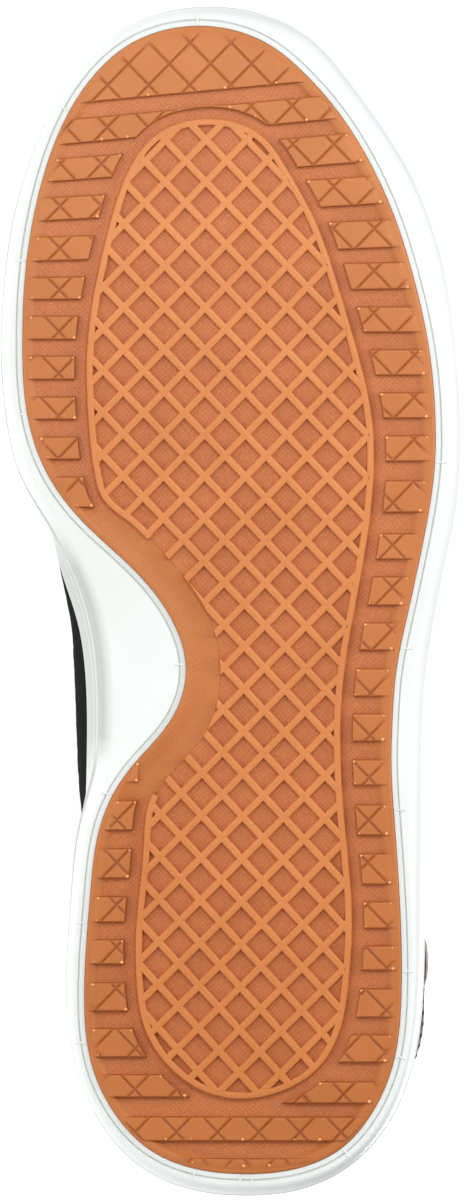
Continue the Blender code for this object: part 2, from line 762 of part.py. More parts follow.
def build_upper():
    edge_shares = edge_rows(STATIONS)
    rings = [upper_point(STATIONS, share * edge_shares[0]) for share in (0.0,) + UPPER_ROWS]
    rings += [upper_point(STATIONS, shares) for shares in edge_shares]
    hem = moved_out(wall_ring, -BED_INSET - BED_CLEARANCE)
    shape = bmesh.new()
    rows = add_rings(shape, rings)
    low = [shape.verts.new(p) for p in raised(hem, level(BED, hem[:, 0]) + BED_CLEARANCE)]
    add_seat_wall(shape, rows[0], low)
    bmesh.ops.recalc_face_normals(shape, faces=shape.faces)
    made = object_from("upper", shape, parts, black)
    thicken(made, UPPER_WALL)
    return made


def overlay(name, rows, material):
    """A piece laid on the upper: rows of (stations, shares) a small gap off its outer face."""
    outer = OVERLAY_GAP + OVERLAY_WALL
    shape = bmesh.new()
    add_sheet(shape, [upper_offset(stations, shares, outer) for stations, shares in rows])
    made = object_from(name, shape, parts, material)
    thicken(made, OVERLAY_WALL)
    return made


def stations_between(first, last):
    """The shoe's own stations inside a span that may pass the toe, with the two ends."""
    every = np.concatenate([STATIONS - STATIONS_ROUND, STATIONS])
    return np.concatenate([[first], every[(every > first + 0.01) & (every < last - 0.01)], [last]])


def build_eyestay():
    stations = stations_between(-EYESTAY_END, EYESTAY_END)
    return overlay("eyestay", [(stations, shares) for shares in edge_rows(stations)], suede)


def build_counter():
    stations = stations_between(COUNTER_FRONT, STATIONS_ROUND - COUNTER_FRONT)
    reach = (stations - 3.0) / (3.0 - COUNTER_FRONT)
    tip = COUNTER_LOW + COUNTER_TIP
    top = tip + (COUNTER_TOP - tip) * (1 - reach ** 2)
    rows = [
        (stations, COUNTER_LOW + (top - COUNTER_LOW) * k / (COUNTER_ROWS - 1))
        for k in range(COUNTER_ROWS)
    ]
    return overlay("heel_counter", rows, suede)


def build_patch():
    stations = np.array(PATCH_STATIONS)
    rows = [(stations, np.full(len(stations), share)) for share in PATCH_ROWS]
    return overlay("side_patch", rows, brown)


def tongue_section(station):
    """A section of the tongue across the throat, from under the outer edge to under the inner one."""
    depth = -(UPPER_WALL + TONGUE_GAP)
    sides = []
    for at in (station, STATIONS_ROUND - station):
        shares = share_below_edge([at], TONGUE_TUCK)[0]
        steps = np.linspace(shares, 1.0, 3)
        sides.append(upper_offset(np.full(3, at), steps, depth))
    outer, inner = sides
    arch = TONGUE_ARCH * min(1.0, (station - TONGUE_STATIONS[0]) / TONGUE_ARCH_SPAN)
    middle = []
    for share in (0.25, 0.5, 0.75):
        point = outer[-1] * (1 - share) + inner[-1] * share
        point[2] += arch * 4 * share * (1 - share)
        middle.append(point)
    return np.vstack([outer, middle, inner[::-1]])


def tongue_sections():
    sections = [tongue_section(s) for s in TONGUE_STATIONS]
    front = []
    for step in TONGUE_FRONT_STEPS:
        front.append(sections[0] + np.array([step, 0.0, -step * TONGUE_FRONT_FALL]))
    way = sections[-1].mean(axis=0) - sections[-2].mean(axis=0)
    way /= np.linalg.norm(way)
    middle = sections[-1].mean(axis=0)
    top = []
    for step, width in zip(TONGUE_TOP_STEPS, TONGUE_TOP_WIDTHS):
        top.append(middle + (sections[-1] - middle) * np.array([1.0, width, 1.0]) + way * step)
    return front + sections + top


def build_tongue():
    shape = bmesh.new()
    add_sheet(shape, [section[::-1] for section in tongue_sections()])
    made = object_from("tongue", shape, parts, cloth)
    thicken(made, TONGUE_WALL)
    return made


def eyelets(side):
    """Stations and shares of one row of lace holes."""
    stations = np.array(EYELET_STATIONS)
    stations = stations if side > 0 else STATIONS_ROUND - stations
    shares = share_below_edge(stations, EYELET_SET_IN)
    return stations, shares


def punch_eyelets(*pieces):
    shape = bmesh.new()
    for side in (1, -1):
        stations, shares = eyelets(side)
        for point, out in zip(upper_point(stations, shares), upper_normal(stations, shares)):
            turn = Vector(out).to_track_quat("Z", "Y").to_matrix().to_4x4()
            place = Matrix.Translation(Vector(point)) @ turn
            bmesh.ops.create_cone(
                shape, cap_ends=True, segments=EYELET_SIDES, radius1=EYELET_RADIUS, radius2=EYELET_RADIUS,
                depth=EYELET_DEPTH, matrix=place,
            )
    bmesh.ops.recalc_face_normals(shape, faces=shape.faces)
    holes = cutter_from("eyelet_holes", shape)
    for piece in pieces:
        combine(piece, holes, "DIFFERENCE")
    return holes


def lace_path(start, end):
    """Five points of a lace run from an outer eyelet to an inner one, over both edges and the tongue."""
    over = OVERLAY_GAP + OVERLAY_WALL + LACE_RADIUS + LACE_CLEARANCE
    over += LACE_OVERLAP if start < end else 0.0
    outer_at, outer_share = eyelets(1)
    inner_at, inner_share = eyelets(-1)
    first, last = outer_at[start], STATIONS_ROUND - inner_at[end]
    middle = (first + last) / 2
    near = 0.75 * first + 0.25 * last
    far = 0.25 * first + 0.75 * last
    crown = tongue_section(middle)[4] + np.array([0.0, 0.0, over + CROWN_LIFT])
    return [
        upper_offset([first], [outer_share[start]], over)[0],
        upper_offset([near], [1.0], over + EDGE_LIFT)[0],
        crown,
        upper_offset([STATIONS_ROUND - far], [1.0], over + EDGE_LIFT)[0],
        upper_offset([STATIONS_ROUND - last], [inner_share[end]], over)[0],
    ]


def lace_run(name, path):
    curve = bpy.data.curves.new(name, "CURVE")
    curve.dimensions = "3D"
    curve.bevel_depth = LACE_RADIUS * MM
    curve.bevel_resolution = 0
    curve.use_fill_caps = True
    line = curve.splines.new("POLY")
    line.points.add(len(path) - 1)
    for point, at in zip(line.points, path):
        point.co = (*(np.array(at) * MM), 1.0)
    guide = bpy.data.objects.new(name, curve)
    cutters.objects.link(guide)
    bpy.context.view_layer.update()
    graph = bpy.context.evaluated_depsgraph_get()
    mesh = bpy.data.meshes.new_from_object(guide.evaluated_get(graph))
    drop(guide)
    shape = bmesh.new()
    shape.from_mesh(mesh)
    bmesh.ops.remove_doubles(shape, verts=shape.verts, dist=1e-6)
    bmesh.ops.recalc_face_normals(shape, faces=shape.faces)
    bmesh.ops.scale(shape, vec=(1 / MM, 1 / MM, 1 / MM), verts=shape.verts)
    return shape


def build_laces():
    last = len(EYELET_STATIONS) - 1
    runs = [(0, 0)]
    for k in range(last):
        runs += [(k, k + 1), (k + 1, k)]
    made = object_from("laces", lace_run("lace", lace_path(*runs[0])), parts, cord)
    helpers = []
    for start, end in runs[1:]:
        name = f"lace_{start}_{end}"
        helper = cutter_from(name, lace_run(name, lace_path(start, end)))
        combine(made, helper, "UNION")
        helpers.append(helper)
    baked(made)
    drop(*helpers)
    return made


def mesh_of(obj, graph):
    """Points in millimetres and triangles of an object as its modifiers leave it."""
    mesh = obj.evaluated_get(graph).to_mesh()
    mesh.calc_loop_triangles()
    points = np.array([v.co[:] for v in mesh.vertices]) / MM
    faces = np.array([t.vertices[:] for t in mesh.loop_triangles])
    obj.evaluated_get(graph).to_mesh_clear()
    return points, faces


def balance_point(shapes, densities):
    weight, moment = 0.0, np.zeros(3)
    for (points, faces), density in zip(shapes, densities):
        a, b, c = points[faces[:, 0]], points[faces[:, 1]], points[faces[:, 2]]
        volume = np.einsum("ij,ij->i", a, np.cross(b, c)) / 6
        weight += density * volume.sum()
        moment += density * (volume[:, None] * (a + b + c) / 4).sum(axis=0)
    return moment / weight


def resting_face(points, centre):
    """Outward direction of the side of the hull that lies under the balance point on the inner side."""
    shape = bmesh.new()
    for point in points:
        shape.verts.new(point)
    hull = bmesh.ops.convex_hull(shape, input=shape.verts)
    for face in [f for f in hull["geom"] if isinstance(f, bmesh.types.BMFace)]:
        out = face.normal if face.normal.dot(face.verts[0].co - Vector(centre)) > 0 else -face.normal
        if out.y > -0.5:
            continue
        drop_point = Vector(centre) + out * out.dot(face.verts[0].co - Vector(centre))
        corners = [v.co for v in face.verts]
        turns = []
        for i, corner in enumerate(corners):
            edge = corners[(i + 1) % len(corners)] - corner
            turns.append(edge.cross(drop_point - corner).dot(out))
        if min(turns) >= -1e-6 or max(turns) <= 1e-6:
            return np.array(out)
    raise ValueError("no side of the hull lies under the balance point")


def lay_down(pieces, densities):
    """Turns the shoe onto its inner side, toe to -X and tread to -Y, its box standing on the origin."""
    bpy.context.view_layer.update()
    graph = bpy.context.evaluated_depsgraph_get()
    shapes = [mesh_of(obj, graph) for obj in pieces]
    every = np.vstack([points for points, faces in shapes])
    up = -resting_face(every, balance_point(shapes, densities))
    back = np.array([-1.0, 0.0, 0.0])
    back = back - up * back.dot(up)
    back /= np.linalg.norm(back)
    turn = np.array([back, np.cross(up, back), up])
    laid = every @ turn.T
    low, high = laid.min(axis=0), laid.max(axis=0)
    shift = -np.array([(low[0] + high[0]) / 2, (low[1] + high[1]) / 2, low[2]])
    pose = Matrix(turn.tolist()).to_4x4()
    pose.translation = Vector(shift * MM)
    return pose


clear_scene()
parts = collection("sneaker")
cutters = collection("cutters")
gum = surface("gum", (0.58, 0.20, 0.075), 0.45)
white = surface("white_rubber", (0.86, 0.88, 0.86), 0.5)
black = surface("black_suede", (0.014, 0.014, 0.014), 0.9)
suede = surface("black_overlay", (0.02, 0.02, 0.02), 0.75)
brown = surface("brown_leather", (0.12, 0.07, 0.05), 0.6)
cloth = surface("tongue_cloth", (0.018, 0.018, 0.018), 0.85)
cord = surface("lace_cord", (0.025, 0.025, 0.025), 0.8)
liner = surface("sock_liner", (0.05, 0.05, 0.05), 0.9)

outsole = build_outsole()
midsole = build_midsole()
insole = build_insole()
upper = build_upper()
eyestay = build_eyestay()
counter = build_counter()
patch = build_patch()
tongue = build_tongue()
holes = punch_eyelets(upper, eyestay)
laces = build_laces()

pieces = [outsole, midsole, insole, upper, eyestay, counter, patch, tongue, laces]
leather = [LEATHER_DENSITY] * 4
cloths = [CLOTH_DENSITY] * 2
densities = [GUM_DENSITY, CUP_DENSITY, CLOTH_DENSITY] + leather + cloths
pose = lay_down(pieces, densities)
for piece in pieces + [holes]:
    piece.matrix_world = pose
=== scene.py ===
import json
import math
from collections import namedtuple

import bmesh
import bpy
import numpy as np
from mathutils import Matrix, Vector


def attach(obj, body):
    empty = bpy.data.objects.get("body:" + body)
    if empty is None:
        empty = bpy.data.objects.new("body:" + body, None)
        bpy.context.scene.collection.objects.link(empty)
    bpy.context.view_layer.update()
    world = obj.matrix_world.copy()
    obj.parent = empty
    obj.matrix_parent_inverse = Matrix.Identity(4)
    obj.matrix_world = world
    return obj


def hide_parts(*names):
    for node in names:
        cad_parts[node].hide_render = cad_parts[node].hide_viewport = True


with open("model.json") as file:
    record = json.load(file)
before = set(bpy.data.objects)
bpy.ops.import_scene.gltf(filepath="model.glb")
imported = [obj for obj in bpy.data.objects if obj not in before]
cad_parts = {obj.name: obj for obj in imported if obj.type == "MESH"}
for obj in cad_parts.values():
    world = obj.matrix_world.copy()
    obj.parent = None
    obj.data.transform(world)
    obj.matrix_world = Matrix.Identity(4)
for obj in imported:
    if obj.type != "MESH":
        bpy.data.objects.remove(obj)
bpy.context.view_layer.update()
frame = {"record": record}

MM = 0.001
# Mesh attribute that marks where shade, and a red glow at the feet of the lug walls, is painted into the
# colour
MARK = "painted_light"
WAVE_UNIT = math.pi / 10

Lamp = namedtuple("Lamp", "name place size power")
Tips = namedtuple("Tips", "toe heel")
Section = namedtuple("Section", "along inner outer")
Bar = namedtuple("Bar", "along length inner outer")
Rib = namedtuple("Rib", "station along outer inner up_outer up_inner slope swell_outer swell_inner pad")
Level = namedtuple("Level", "along up")
Step = namedtuple("Step", "set_in height")
Crease = namedtuple("Crease", "along lean depth width")
Lug = namedtuple("Lug", "back front end", defaults=[0.0])
Shift = namedtuple("Shift", "at along across")
Drift = namedtuple("Drift", "still along across bend twist")


def rows(kind, *values):
    """A table of rows of one kind."""
    return [kind(*row) for row in values]


# Camera: the photo's frame, the size of its pixels on the tread and the point at its middle
PHOTO_HEIGHT = 1200
MM_PER_PIXEL = 0.25
VIEW_MIDDLE = (149.0, -2.0, 0.0)
VIEW_TILT = 3.0
VIEW_DISTANCE = 4.5
VIEW_REACH = 300.0
SENSOR = 36.0

# Light: a soft disk before the toe, a wide one overhead, a low one behind, a white sky and a floor that glows
LAMPS = rows(
    Lamp,
    ("key", (-0.38, -0.9, 0.48), 0.45, 4.3),
    ("overhead", (-0.1, -0.14, 1.1), 0.9, 10.8),
    ("behind", (0.15, 1.2, 0.16), 0.5, 7.5),
)
LAMP_AIM = (-0.02, -0.02, 0.06)
SKY = 0.27
FLOOR_HALF = 60.0
FLOOR_GLOW = 0.95
FLOOR_TONE = 0.43
FLOOR_PALE = 0.45

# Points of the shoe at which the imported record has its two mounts
HEEL_SPOT = (16.75, 0.0, 0.0)
FORE_SPOT = (175.34, 41.0, 0.0)

# Heights of the sole, from the tread up
TREAD_FLOOR = 1.8
PLATE_TOP = 4.2
LIP_HEIGHT = 1.0
WALL_HEIGHT = 10.0
ARCH_RISE_SHARE = 0.15
TOE_SPRING = 9.0
SPRING_START = 200.0
SPRING_END = 298.0

# Widths round the sole
SEAT_GAP = 0.3
GUM_GAP = 0.04
LIP_WIDTH = 1.6
CORNER_RUN = 4.0
CORNER_STEPS = 12
LEAST_FLAT = 0.7
FLAT_SHARES = (0.25, 0.5, 0.75)
RIB_PROUD = 0.65
RIM_WALL = 2.0
BED_INSET = 4.0
BED_CLEARANCE = 0.45
BORDER_INNER = 1.5
BORDER_OUTER = 2.2

# Edges: from the top of the gum plate to its border and from there to the floor of the channels,
# of the nest of the cup sole, of the groove beside its lip, of its rim and of the sock liner
PLATE_EDGE = rows(Step, (0.0, PLATE_TOP), (0.0, 1.0), (0.06, 0.85), (0.22, 0.66), (0.5, 0.55), (0.85, 0.5))
BORDER_FALL = rows(Step, (0.0, 0.6), (0.64, 1.05), (1.28, 1.7), (1.6, TREAD_FLOOR))
NEST_EDGE = rows(Step, (0.0, 4.55), (0.0, 1.25), (-0.1, 1.06), (-0.3, LIP_HEIGHT))
GROOVE_EDGE = rows(Step, (0.64, LIP_HEIGHT), (0.32, 1.42), (0.0, LIP_HEIGHT))
RIM_EDGE = rows(Step, (0.12, -0.12), (0.5, 0.0), (1.7, 0.0), (RIM_WALL, -0.3))
LINER_EDGE = rows(Step, (0.0, -0.9), (0.3, -0.3), (1.0, 0.0))

# Painted shade on the cup sole, in shares: in the groove, on the lip, in the hollow of the arch and as a thin
# line on the lowest rib of the inner side
GROOVE_RING = 5
GROOVE_SHADE = 0.5
LIP_SHADE = 0.12
ARCH_LIP_SHADE = 0.25
ARCH_SHADE_FROM = 3.0
ARCH_SHADE_RUN = 7.0
ARCH_SHADE_FADE = 0.6
RIB_LINE_SHADE = 0.9
RIB_LINE_REACH = 0.6
RIB_LINE_STEPS = (3, 4, 5)

# Upper, overlays, tongue, insole and laces
UPPER_WALL = 2.2
UPPER_LIFT = 0.5
UPPER_ROWS = 42
NAP = 0.1
NAP_SEED = 5
NAP_TOP = 0.8
NAP_FADE = 0.4
RIB_PULL = 0.75
LOW_SWELL = 27 / 4
HIGH_SWELL = 256 / 27
ROLL_ANGLES = (30, 60, 90, 120, 150)
ROLL_FROM = 0.97
OVERLAY_WALL = 1.2
OVERLAY_SINK = 0.05
OVERLAY_STEP = 1.5
THIN_SHARE = 0.75
INSOLE_INSET = 3.2
INSOLE_GAP = 0.4
TONGUE_GAP = 1.1
TONGUE_WALL = 4.5
TONGUE_TUCK = 8.0
TONGUE_ARCH = 3.0
TONGUE_ARCH_SPAN = 0.4
LACE_RADIUS = 1.7
LACE_FLATTENED = 0.94
LACE_CLEARANCE = 0.5
LACE_OVERLAP = 0.9
LACE_LIFTS = (-3.6, 0.2)
LACE_EASE = 0.4
EDGE_LIFT = 0.4
CROWN_LIFT = 0.3
EYELET_RADIUS = 2.2
EYELET_DEPTH = 14.0
EYELET_SET_IN = 8.0
EYELET_STATIONS = (1.08, 1.19, 1.3, 1.41, 1.52)

# Tread pattern
LATTICE_ALONG = 10.63
LATTICE_ACROSS = 10.3
LATTICE_X = 254.0
LATTICE_Y = -13.5
LATTICE_SPARE = 7.0
LATTICE_UNDER = 3.8
FIELD_CUT = (-1.0, 3.4)
POCKET_FROM = 1.2
POCKET_LEVEL = 0.8
RIM_WIDTH = 1.7
CHANNEL = 2.75
LUG_MARGIN = 0.5
LEAST_LUG = 0.3
LEAST_BAR = 0.5
LUG_STEP = 0.28
EDGE_SHARE = 0.94
SCORE_HALF = 0.5
SCORE_DEEP = 0.4
SCORE_FADE = 0.45
# Share of the mark for painted shade that the scored lines get
SCORE_MARK = 0.5
OPEN_ARCH_BACK = 101.0
OPEN_ARCH_FRONT = 164.0
TOE_BAR_TURN = 5.3
LUG_TURN_TOE = 262.0
LUG_TURN_NONE = 220.0
TOE_BAR_MIDDLE = -9.0
BAR_SAMPLES = 400
END_REACH = 70.0

# Plain strip of gum round the arch: its ends, its top and fall in millimetres and in shares of its width
ARCH_FLOOR_ENDS = (96.0, 173.0)
ARCH_FLOOR_GAP = 0.05
ARCH_TOP = 0.47
ARCH_FALL = 0.85
ARCH_FALL_SHARE = 0.5
ARCH_EDGE_SHARE = 0.05
ARCH_EDGE_SINK = 0.5
ARCH_END_RUN = 9.0
ARCH_END_SINK = 0.7
ARCH_UNDER = 2.8

# Beads of flash: their sizes in turn, which corners of each five have none, and their spacing on a bar
BEAD_SIZES = (0.2, 0.41, 0.34, 0.27)
BEAD_ROUND = 5
BEADLESS = (2, 4)
BEAD_FLATTENED = 0.6
BEAD_SINK = 0.02
BAR_BEADS = 23

# Rays from the spine to the outline: a fan at the toe, a row along each side, a fan at the heel
TOE_HUB = (248.0, -9.0)
HEEL_HUB = (46.0, 1.0)
FAN_STEPS = 40
SIDE_STEPS = 120
STATIONS_ROUND = 6.0
OUTLINE_POINTS = 700
RIB_SAMPLES = 81
SLOPE_STEP = 0.01

# Edge of the gum, with the deep cut of the arch on the inner side
GUM_TIPS = Tips((292.75, -10.0), (5.5, 1.0))
GUM = rows(
    Section,
    (287.75, -28.75, 7.25), (281.5, -36.0, 15.0), (269.0, -44.25, 25.75), (256.5, -49.0, 33.25),
    (244.0, -52.0, 38.75), (231.5, -53.75, 42.75), (212.75, -54.5, 47.0), (194.0, -53.0, 48.75),
    (181.5, -48.75, 48.5), (169.0, -39.75, 46.75), (156.5, -26.5, 44.25), (144.0, -17.0, 41.5),
    (131.5, -13.5, 39.0), (119.0, -17.25, 38.0), (106.5, -27.75, 37.75), (94.0, -34.5, 38.5),
    (75.25, -37.5, 39.75), (50.25, -39.0, 40.25), (31.5, -36.75, 37.75), (19.0, -30.25, 31.75),
    (12.75, -24.25, 26.25),
)

# Widest line of the cup sole, a third of the way up its wall
WALL_TIPS = Tips((297.8, -8.5), (0.0, 1.5))
WALL = rows(
    Section,
    (287.75, -36.5, 19.0), (281.5, -42.0, 24.5), (269.0, -49.5, 33.8), (256.5, -54.2, 41.6),
    (244.0, -57.5, 47.0), (231.5, -59.3, 50.6), (212.75, -60.4, 53.7), (194.0, -59.0, 55.2),
    (181.5, -56.0, 55.1), (169.0, -48.8, 53.8), (156.5, -42.0, 51.2), (144.0, -37.8, 48.8),
    (131.5, -36.0, 46.8), (119.0, -35.6, 45.8), (106.5, -36.6, 45.5), (94.0, -40.2, 45.5),
    (75.25, -42.7, 45.4), (50.25, -44.0, 44.95), (37.75, -42.8, 43.6), (25.25, -39.0, 40.15),
    (12.75, -31.5, 32.6), (6.5, -24.5, 25.5), (1.5, -13.0, 14.5),
)

# Top edge of the cup sole, which leans out over the arch and in elsewhere
RIM_TIPS = Tips((295.3, -8.5), (2.4, 1.5))
RIM = rows(
    Section,
    (285.75, -33.8, 17.0), (279.5, -39.8, 23.0), (267.5, -47.4, 32.2), (256.5, -51.6, 39.2),
    (244.0, -55.0, 44.6), (231.5, -56.7, 48.2), (212.75, -57.8, 51.3), (194.0, -56.4, 52.8),
    (181.5, -53.4, 52.7), (169.0, -49.6, 51.5), (156.5, -46.6, 49.6), (144.0, -42.6, 47.2),
    (131.5, -40.6, 45.2), (119.0, -40.1, 44.4), (106.5, -40.25, 44.1), (94.0, -40.4, 43.6),
    (75.25, -40.5, 43.4), (50.25, -41.3, 43.4), (37.75, -40.2, 42.0), (25.25, -36.5, 37.8),
    (14.0, -29.5, 30.5), (8.0, -22.5, 24.0), (3.9, -12.0, 13.5),
)

# Outer edge of the rim round the lattice field
FIELD_TIPS = Tips((269.5, -8.75), (24.25, 0.75))
FIELD = rows(
    Section,
    (264.5, -22.5, 6.0), (257.75, -27.5, 11.0), (244.0, -32.5, 18.6), (229.0, -36.0, 24.0),
    (214.0, -38.2, 28.5), (194.0, -38.0, 33.0), (180.25, -36.4, 33.4), (174.5, -34.5, 33.0),
    (168.25, -27.5, 32.3), (159.0, -18.75, 30.9), (147.5, -10.0, 28.8), (132.0, -5.75, 26.2),
    (116.5, -9.25, 25.1), (105.25, -18.75, 25.3), (100.0, -22.2, 25.6), (86.5, -24.25, 26.8),
    (67.75, -26.0, 28.0), (54.0, -26.0, 27.2), (41.5, -23.75, 25.0), (32.0, -17.5, 19.6),
    (26.0, -8.75, 10.0),
)

# Lugs of the outer and the inner side, from toe to heel, by their two ends along the shoe,
# and where an inner lug stops short of the channel
OUTER_LUGS = rows(
    Lug,
    (257.75, 265.25), (247.5, 254.75), (236.75, 244), (226.5, 233.5), (215.75, 222.5), (205, 211.75),
    (194.25, 201), (183.5, 190.25), (170.75, 179), (159, 165.75), (147.5, 155), (136.25, 143.5),
    (124.75, 132), (113.5, 120.75), (102.5, 109.25), (90, 98), (77.75, 85.75), (66.75, 73.75),
    (56.25, 62.75), (44.5, 52), (33.25, 40.5), (23, 28.75),
)
INNER_LUGS = rows(
    Lug,
    (254, 260.25), (244, 250.25), (233.75, 240.25), (224, 230), (214, 220.25), (204, 210.25),
    (194, 200), (184, 190), (172, 180), (103.25, 108.5, -25.3), (91.25, 99), (79.25, 87),
    (68.25, 75), (57.75, 64.25), (46, 53.5), (34.5, 42), (24.5, 30.5),
)

# Cross bars, by their middle and length along the shoe and how far they may reach to either side
TOE_BARS = rows(Bar, (288.2, 24.0, -46.0, 26.0), (269.4, 6.5, -48.0, 29.0))
HEEL_BARS = rows(Bar, (16.75, 6.4, -34.0, 36.0), (4.75, 9.5, -34.0, 36.0))

# How the lattice strays from its even grid, per 100 mm along the shoe and 20 mm across it
DRIFT_MIDDLE = 150.0
DRIFT_ALONG = Drift(0.34, -0.28, -0.3, -0.36, 0.35)
DRIFT_ACROSS = Drift(-0.77, 0.75, -0.08, -0.43, -0.11)

# How far the scored lines on the lugs of each side and on the cross bars stray from those of the lattice
OUTER_SHIFTS = rows(Shift, (20, 0.0, -1.9), (55, -0.4, -1.3), (140, -0.8, 0.0), (250, -1.6, 0.8))
INNER_SHIFTS = rows(
    Shift,
    (28, 1.1, -2.5), (39, 0.7, -2.4), (52, -0.4, -2.0), (85, -0.6, -1.9),
    (210, -0.5, -1.0), (240, -1.1, -0.8),
)
TOE_SHIFT = rows(Shift, (0, -2.6, 0.6))
HEEL_SHIFT = rows(Shift, (0, 1.1, -2.4))

# Edges of a lug from its foot to its flat top, steep on three sides and sloping at the edge of the gum
STEEP = rows(Step, (0.0, 2.8), (0.25, 0.34), (0.42, 0.07), (0.65, 0.0))
SLOPING = rows(Step, (0.0, 1.4), (0.3, 0.62), (0.9, 0.4), (1.6, 0.14), (2.3, 0.02), (2.8, 0.0))

# Half a cell of the lattice, from the middle of its pocket to the middle of a bar, in shares of a cell
CELL = rows(Step, (0.0, 1.4), (0.36, 1.4), (0.381, 0.3), (0.393, 0.08), (0.41, 0.02), (0.5, 0.0))

# The raised rim round the lattice, across its width
RIM_PROFILE = rows(
    Step,
    (-0.12, 2.8), (0.0, 0.5), (0.16, 0.12), (0.42, 0.0), (1.28, 0.0), (1.54, 0.12), (1.7, 0.5), (1.86, 2.8),
)

# Thin ticks of the mould on the lip of the cup sole: their stations, and their form across their width
TICK_STATIONS = (
    5.97, 5.38, 4.93, 4.74, 4.43, 4.27, 4.11, 3.88, 3.19, 3.015, 2.97, 2.6, 2.18, 1.95, 1.75, 1.55, 1.32,
)
TICK_FORM = rows(Step, (-0.3, 1.3), (-0.12, 0.74), (0.12, 0.74), (0.3, 1.3))
TICK_ENDS = (0.4, 2.9)

# Heights of the bed of the cup and of its rim before the toe spring, and how thick the insole is
BED = rows(Level, (0, 11.0), (80, 10.8), (150, 9.5), (205, 9.0), (300, 9.0))
FOOTBED = rows(Level, (0, 9.0), (80, 8.5), (150, 6.0), (205, 5.0), (300, 4.5))
RIM_TOP = rows(Level, (0, 31.0), (70, 29.0), (140, 27.2), (205, 26.0), (300, 28.0))

# Shares of the height of the wall at which its two moulded ribs stand proud, and how wide they are
WALL_RIBS = (0.10, 0.34)
WALL_RIB_HALF = 0.028
WALL_STEPS = 44
WALL_TOP = 0.97

# Where each rib of the upper ends on the edge of throat and collar, its slope there and how far it swells
RIBS = rows(
    Rib,
    (0.0, 205.0, -6.0, -6.0, 66.0, 66.0, 20, 0.0, 0.0, 0),
    (0.375, 203.5, 2.0, -13.5, 66.5, 66.5, 22, 0.3, 0.3, 0),
    (0.75, 198.0, 8.0, -18.5, 68.5, 68.5, 28, 0.6, 0.5, 0),
    (1.04, 189.0, 11.0, -20.5, 72.0, 72.0, 34, 1.0, 0.8, 0),
    (1.20, 172.0, 13.5, -21.5, 79.0, 79.5, 40, 1.8, 1.5, 0),
    (1.36, 151.0, 16.5, -22.5, 88.0, 89.0, 46, 2.6, 3.3, 0),
    (1.48, 134.0, 19.5, -24.0, 96.0, 97.0, 52, 3.0, 5.5, 0),
    (1.56, 122.0, 22.5, -25.5, 101.0, 102.0, 58, 3.0, 7.1, 0.4),
    (1.62, 113.0, 25.5, -27.0, 100.0, 101.0, 66, 2.8, 7.2, 1.2),
    (1.70, 101.0, 29.0, -28.5, 89.5, 91.5, 74, 2.6, 6.1, 3.2),
    (1.80, 85.0, 32.0, -30.5, 77.5, 79.5, 78, 2.2, 3.5, 5.0),
    (1.92, 64.0, 34.3, -31.0, 72.5, 74.5, 78, 2.4, 0.5, 5.5),
    (2.125, 43.0, 33.65, -29.5, 75.0, 76.0, 78, 2.65, 0.3, 5.0),
    (2.5625, 21.0, 22.2, -21.0, 82.5, 82.5, 80, 0.2, 0.6, 3.2),
    (3.0, 7.5, 1.5, 1.5, 89.0, 89.0, 82, 1.8, 1.8, 2.2),
)

# Soft flex creases across the vamp, ahead of the throat
CREASES = rows(Crease, (227.0, 0.10, 0.5, 3.2), (218.0, -0.06, 0.75, 3.6), (209.5, 0.05, 0.6, 3.0))
CREASE_MIDDLE = -9.0
CREASE_FADES = ((0.12, 0.3), (1.0, 0.1))

# Overlays on the upper, in stations round the shoe and shares of the rib's height
EYESTAY_END = 1.6
EYESTAY_TOP = 0.995
EYESTAY_WIDTH = 17.0
EYESTAY_EVEN = 0.14
COUNTER_FRONT = 1.86
COUNTER_LOW = 0.05
COUNTER_TOP = 0.62
COUNTER_TIP = 0.17
PATCH_ENDS = (1.918, 1.985)
PATCH_SHARES = (0.36, 0.6)
OVERLAY_EDGE = rows(Step, (0.0, 0.0), (0.12, 0.6), (0.35, 0.9), (0.7, 1.0))

# Stitches: a thread's rings by place along it, size and lift, and the rows below the edges of the pieces
STITCH_LENGTH = 2.3
STITCH_PITCH = 3.2
STITCH_RADIUS = 0.25
STITCH_SINK = 0.12
STITCH_FORM = ((-0.5, 0.3, -0.25), (-0.3, 0.9, 0.0), (0.0, 1.0, 0.06), (0.3, 0.9, 0.0), (0.5, 0.3, -0.25))
STITCH_ROWS = (1.6, 4.0)
THROAT_ROW = 2.2
COLLAR_ROWS = (3.2, 13.0)
COLLAR_LIFT = 0.05
EYESTAY_FREE = 0.02
COUNTER_FREE = 0.03
COLLAR_FREE = 0.04
WAY_STEP = 0.1

# Sections of the tongue: stations under the throat, then steps beyond its two ends
TONGUE_START = 0.75
TONGUE_BEND = 1.46
TONGUE_END = 1.55
TONGUE_FRONT_STEPS = (13.0, 6.5)
TONGUE_FRONT_FALL = 0.55
TONGUE_TOP = 27.0
TONGUE_NARROWING = 0.3


def unit(ways):
    return ways / np.linalg.norm(ways, axis=-1, keepdims=True)


def lengths(path):
    """How far along a path each of its points lies."""
    return np.concatenate([[0.0], np.cumsum(np.linalg.norm(np.diff(path, axis=0), axis=1))])


def eased(share):
    return share * share * (3 - 2 * share)


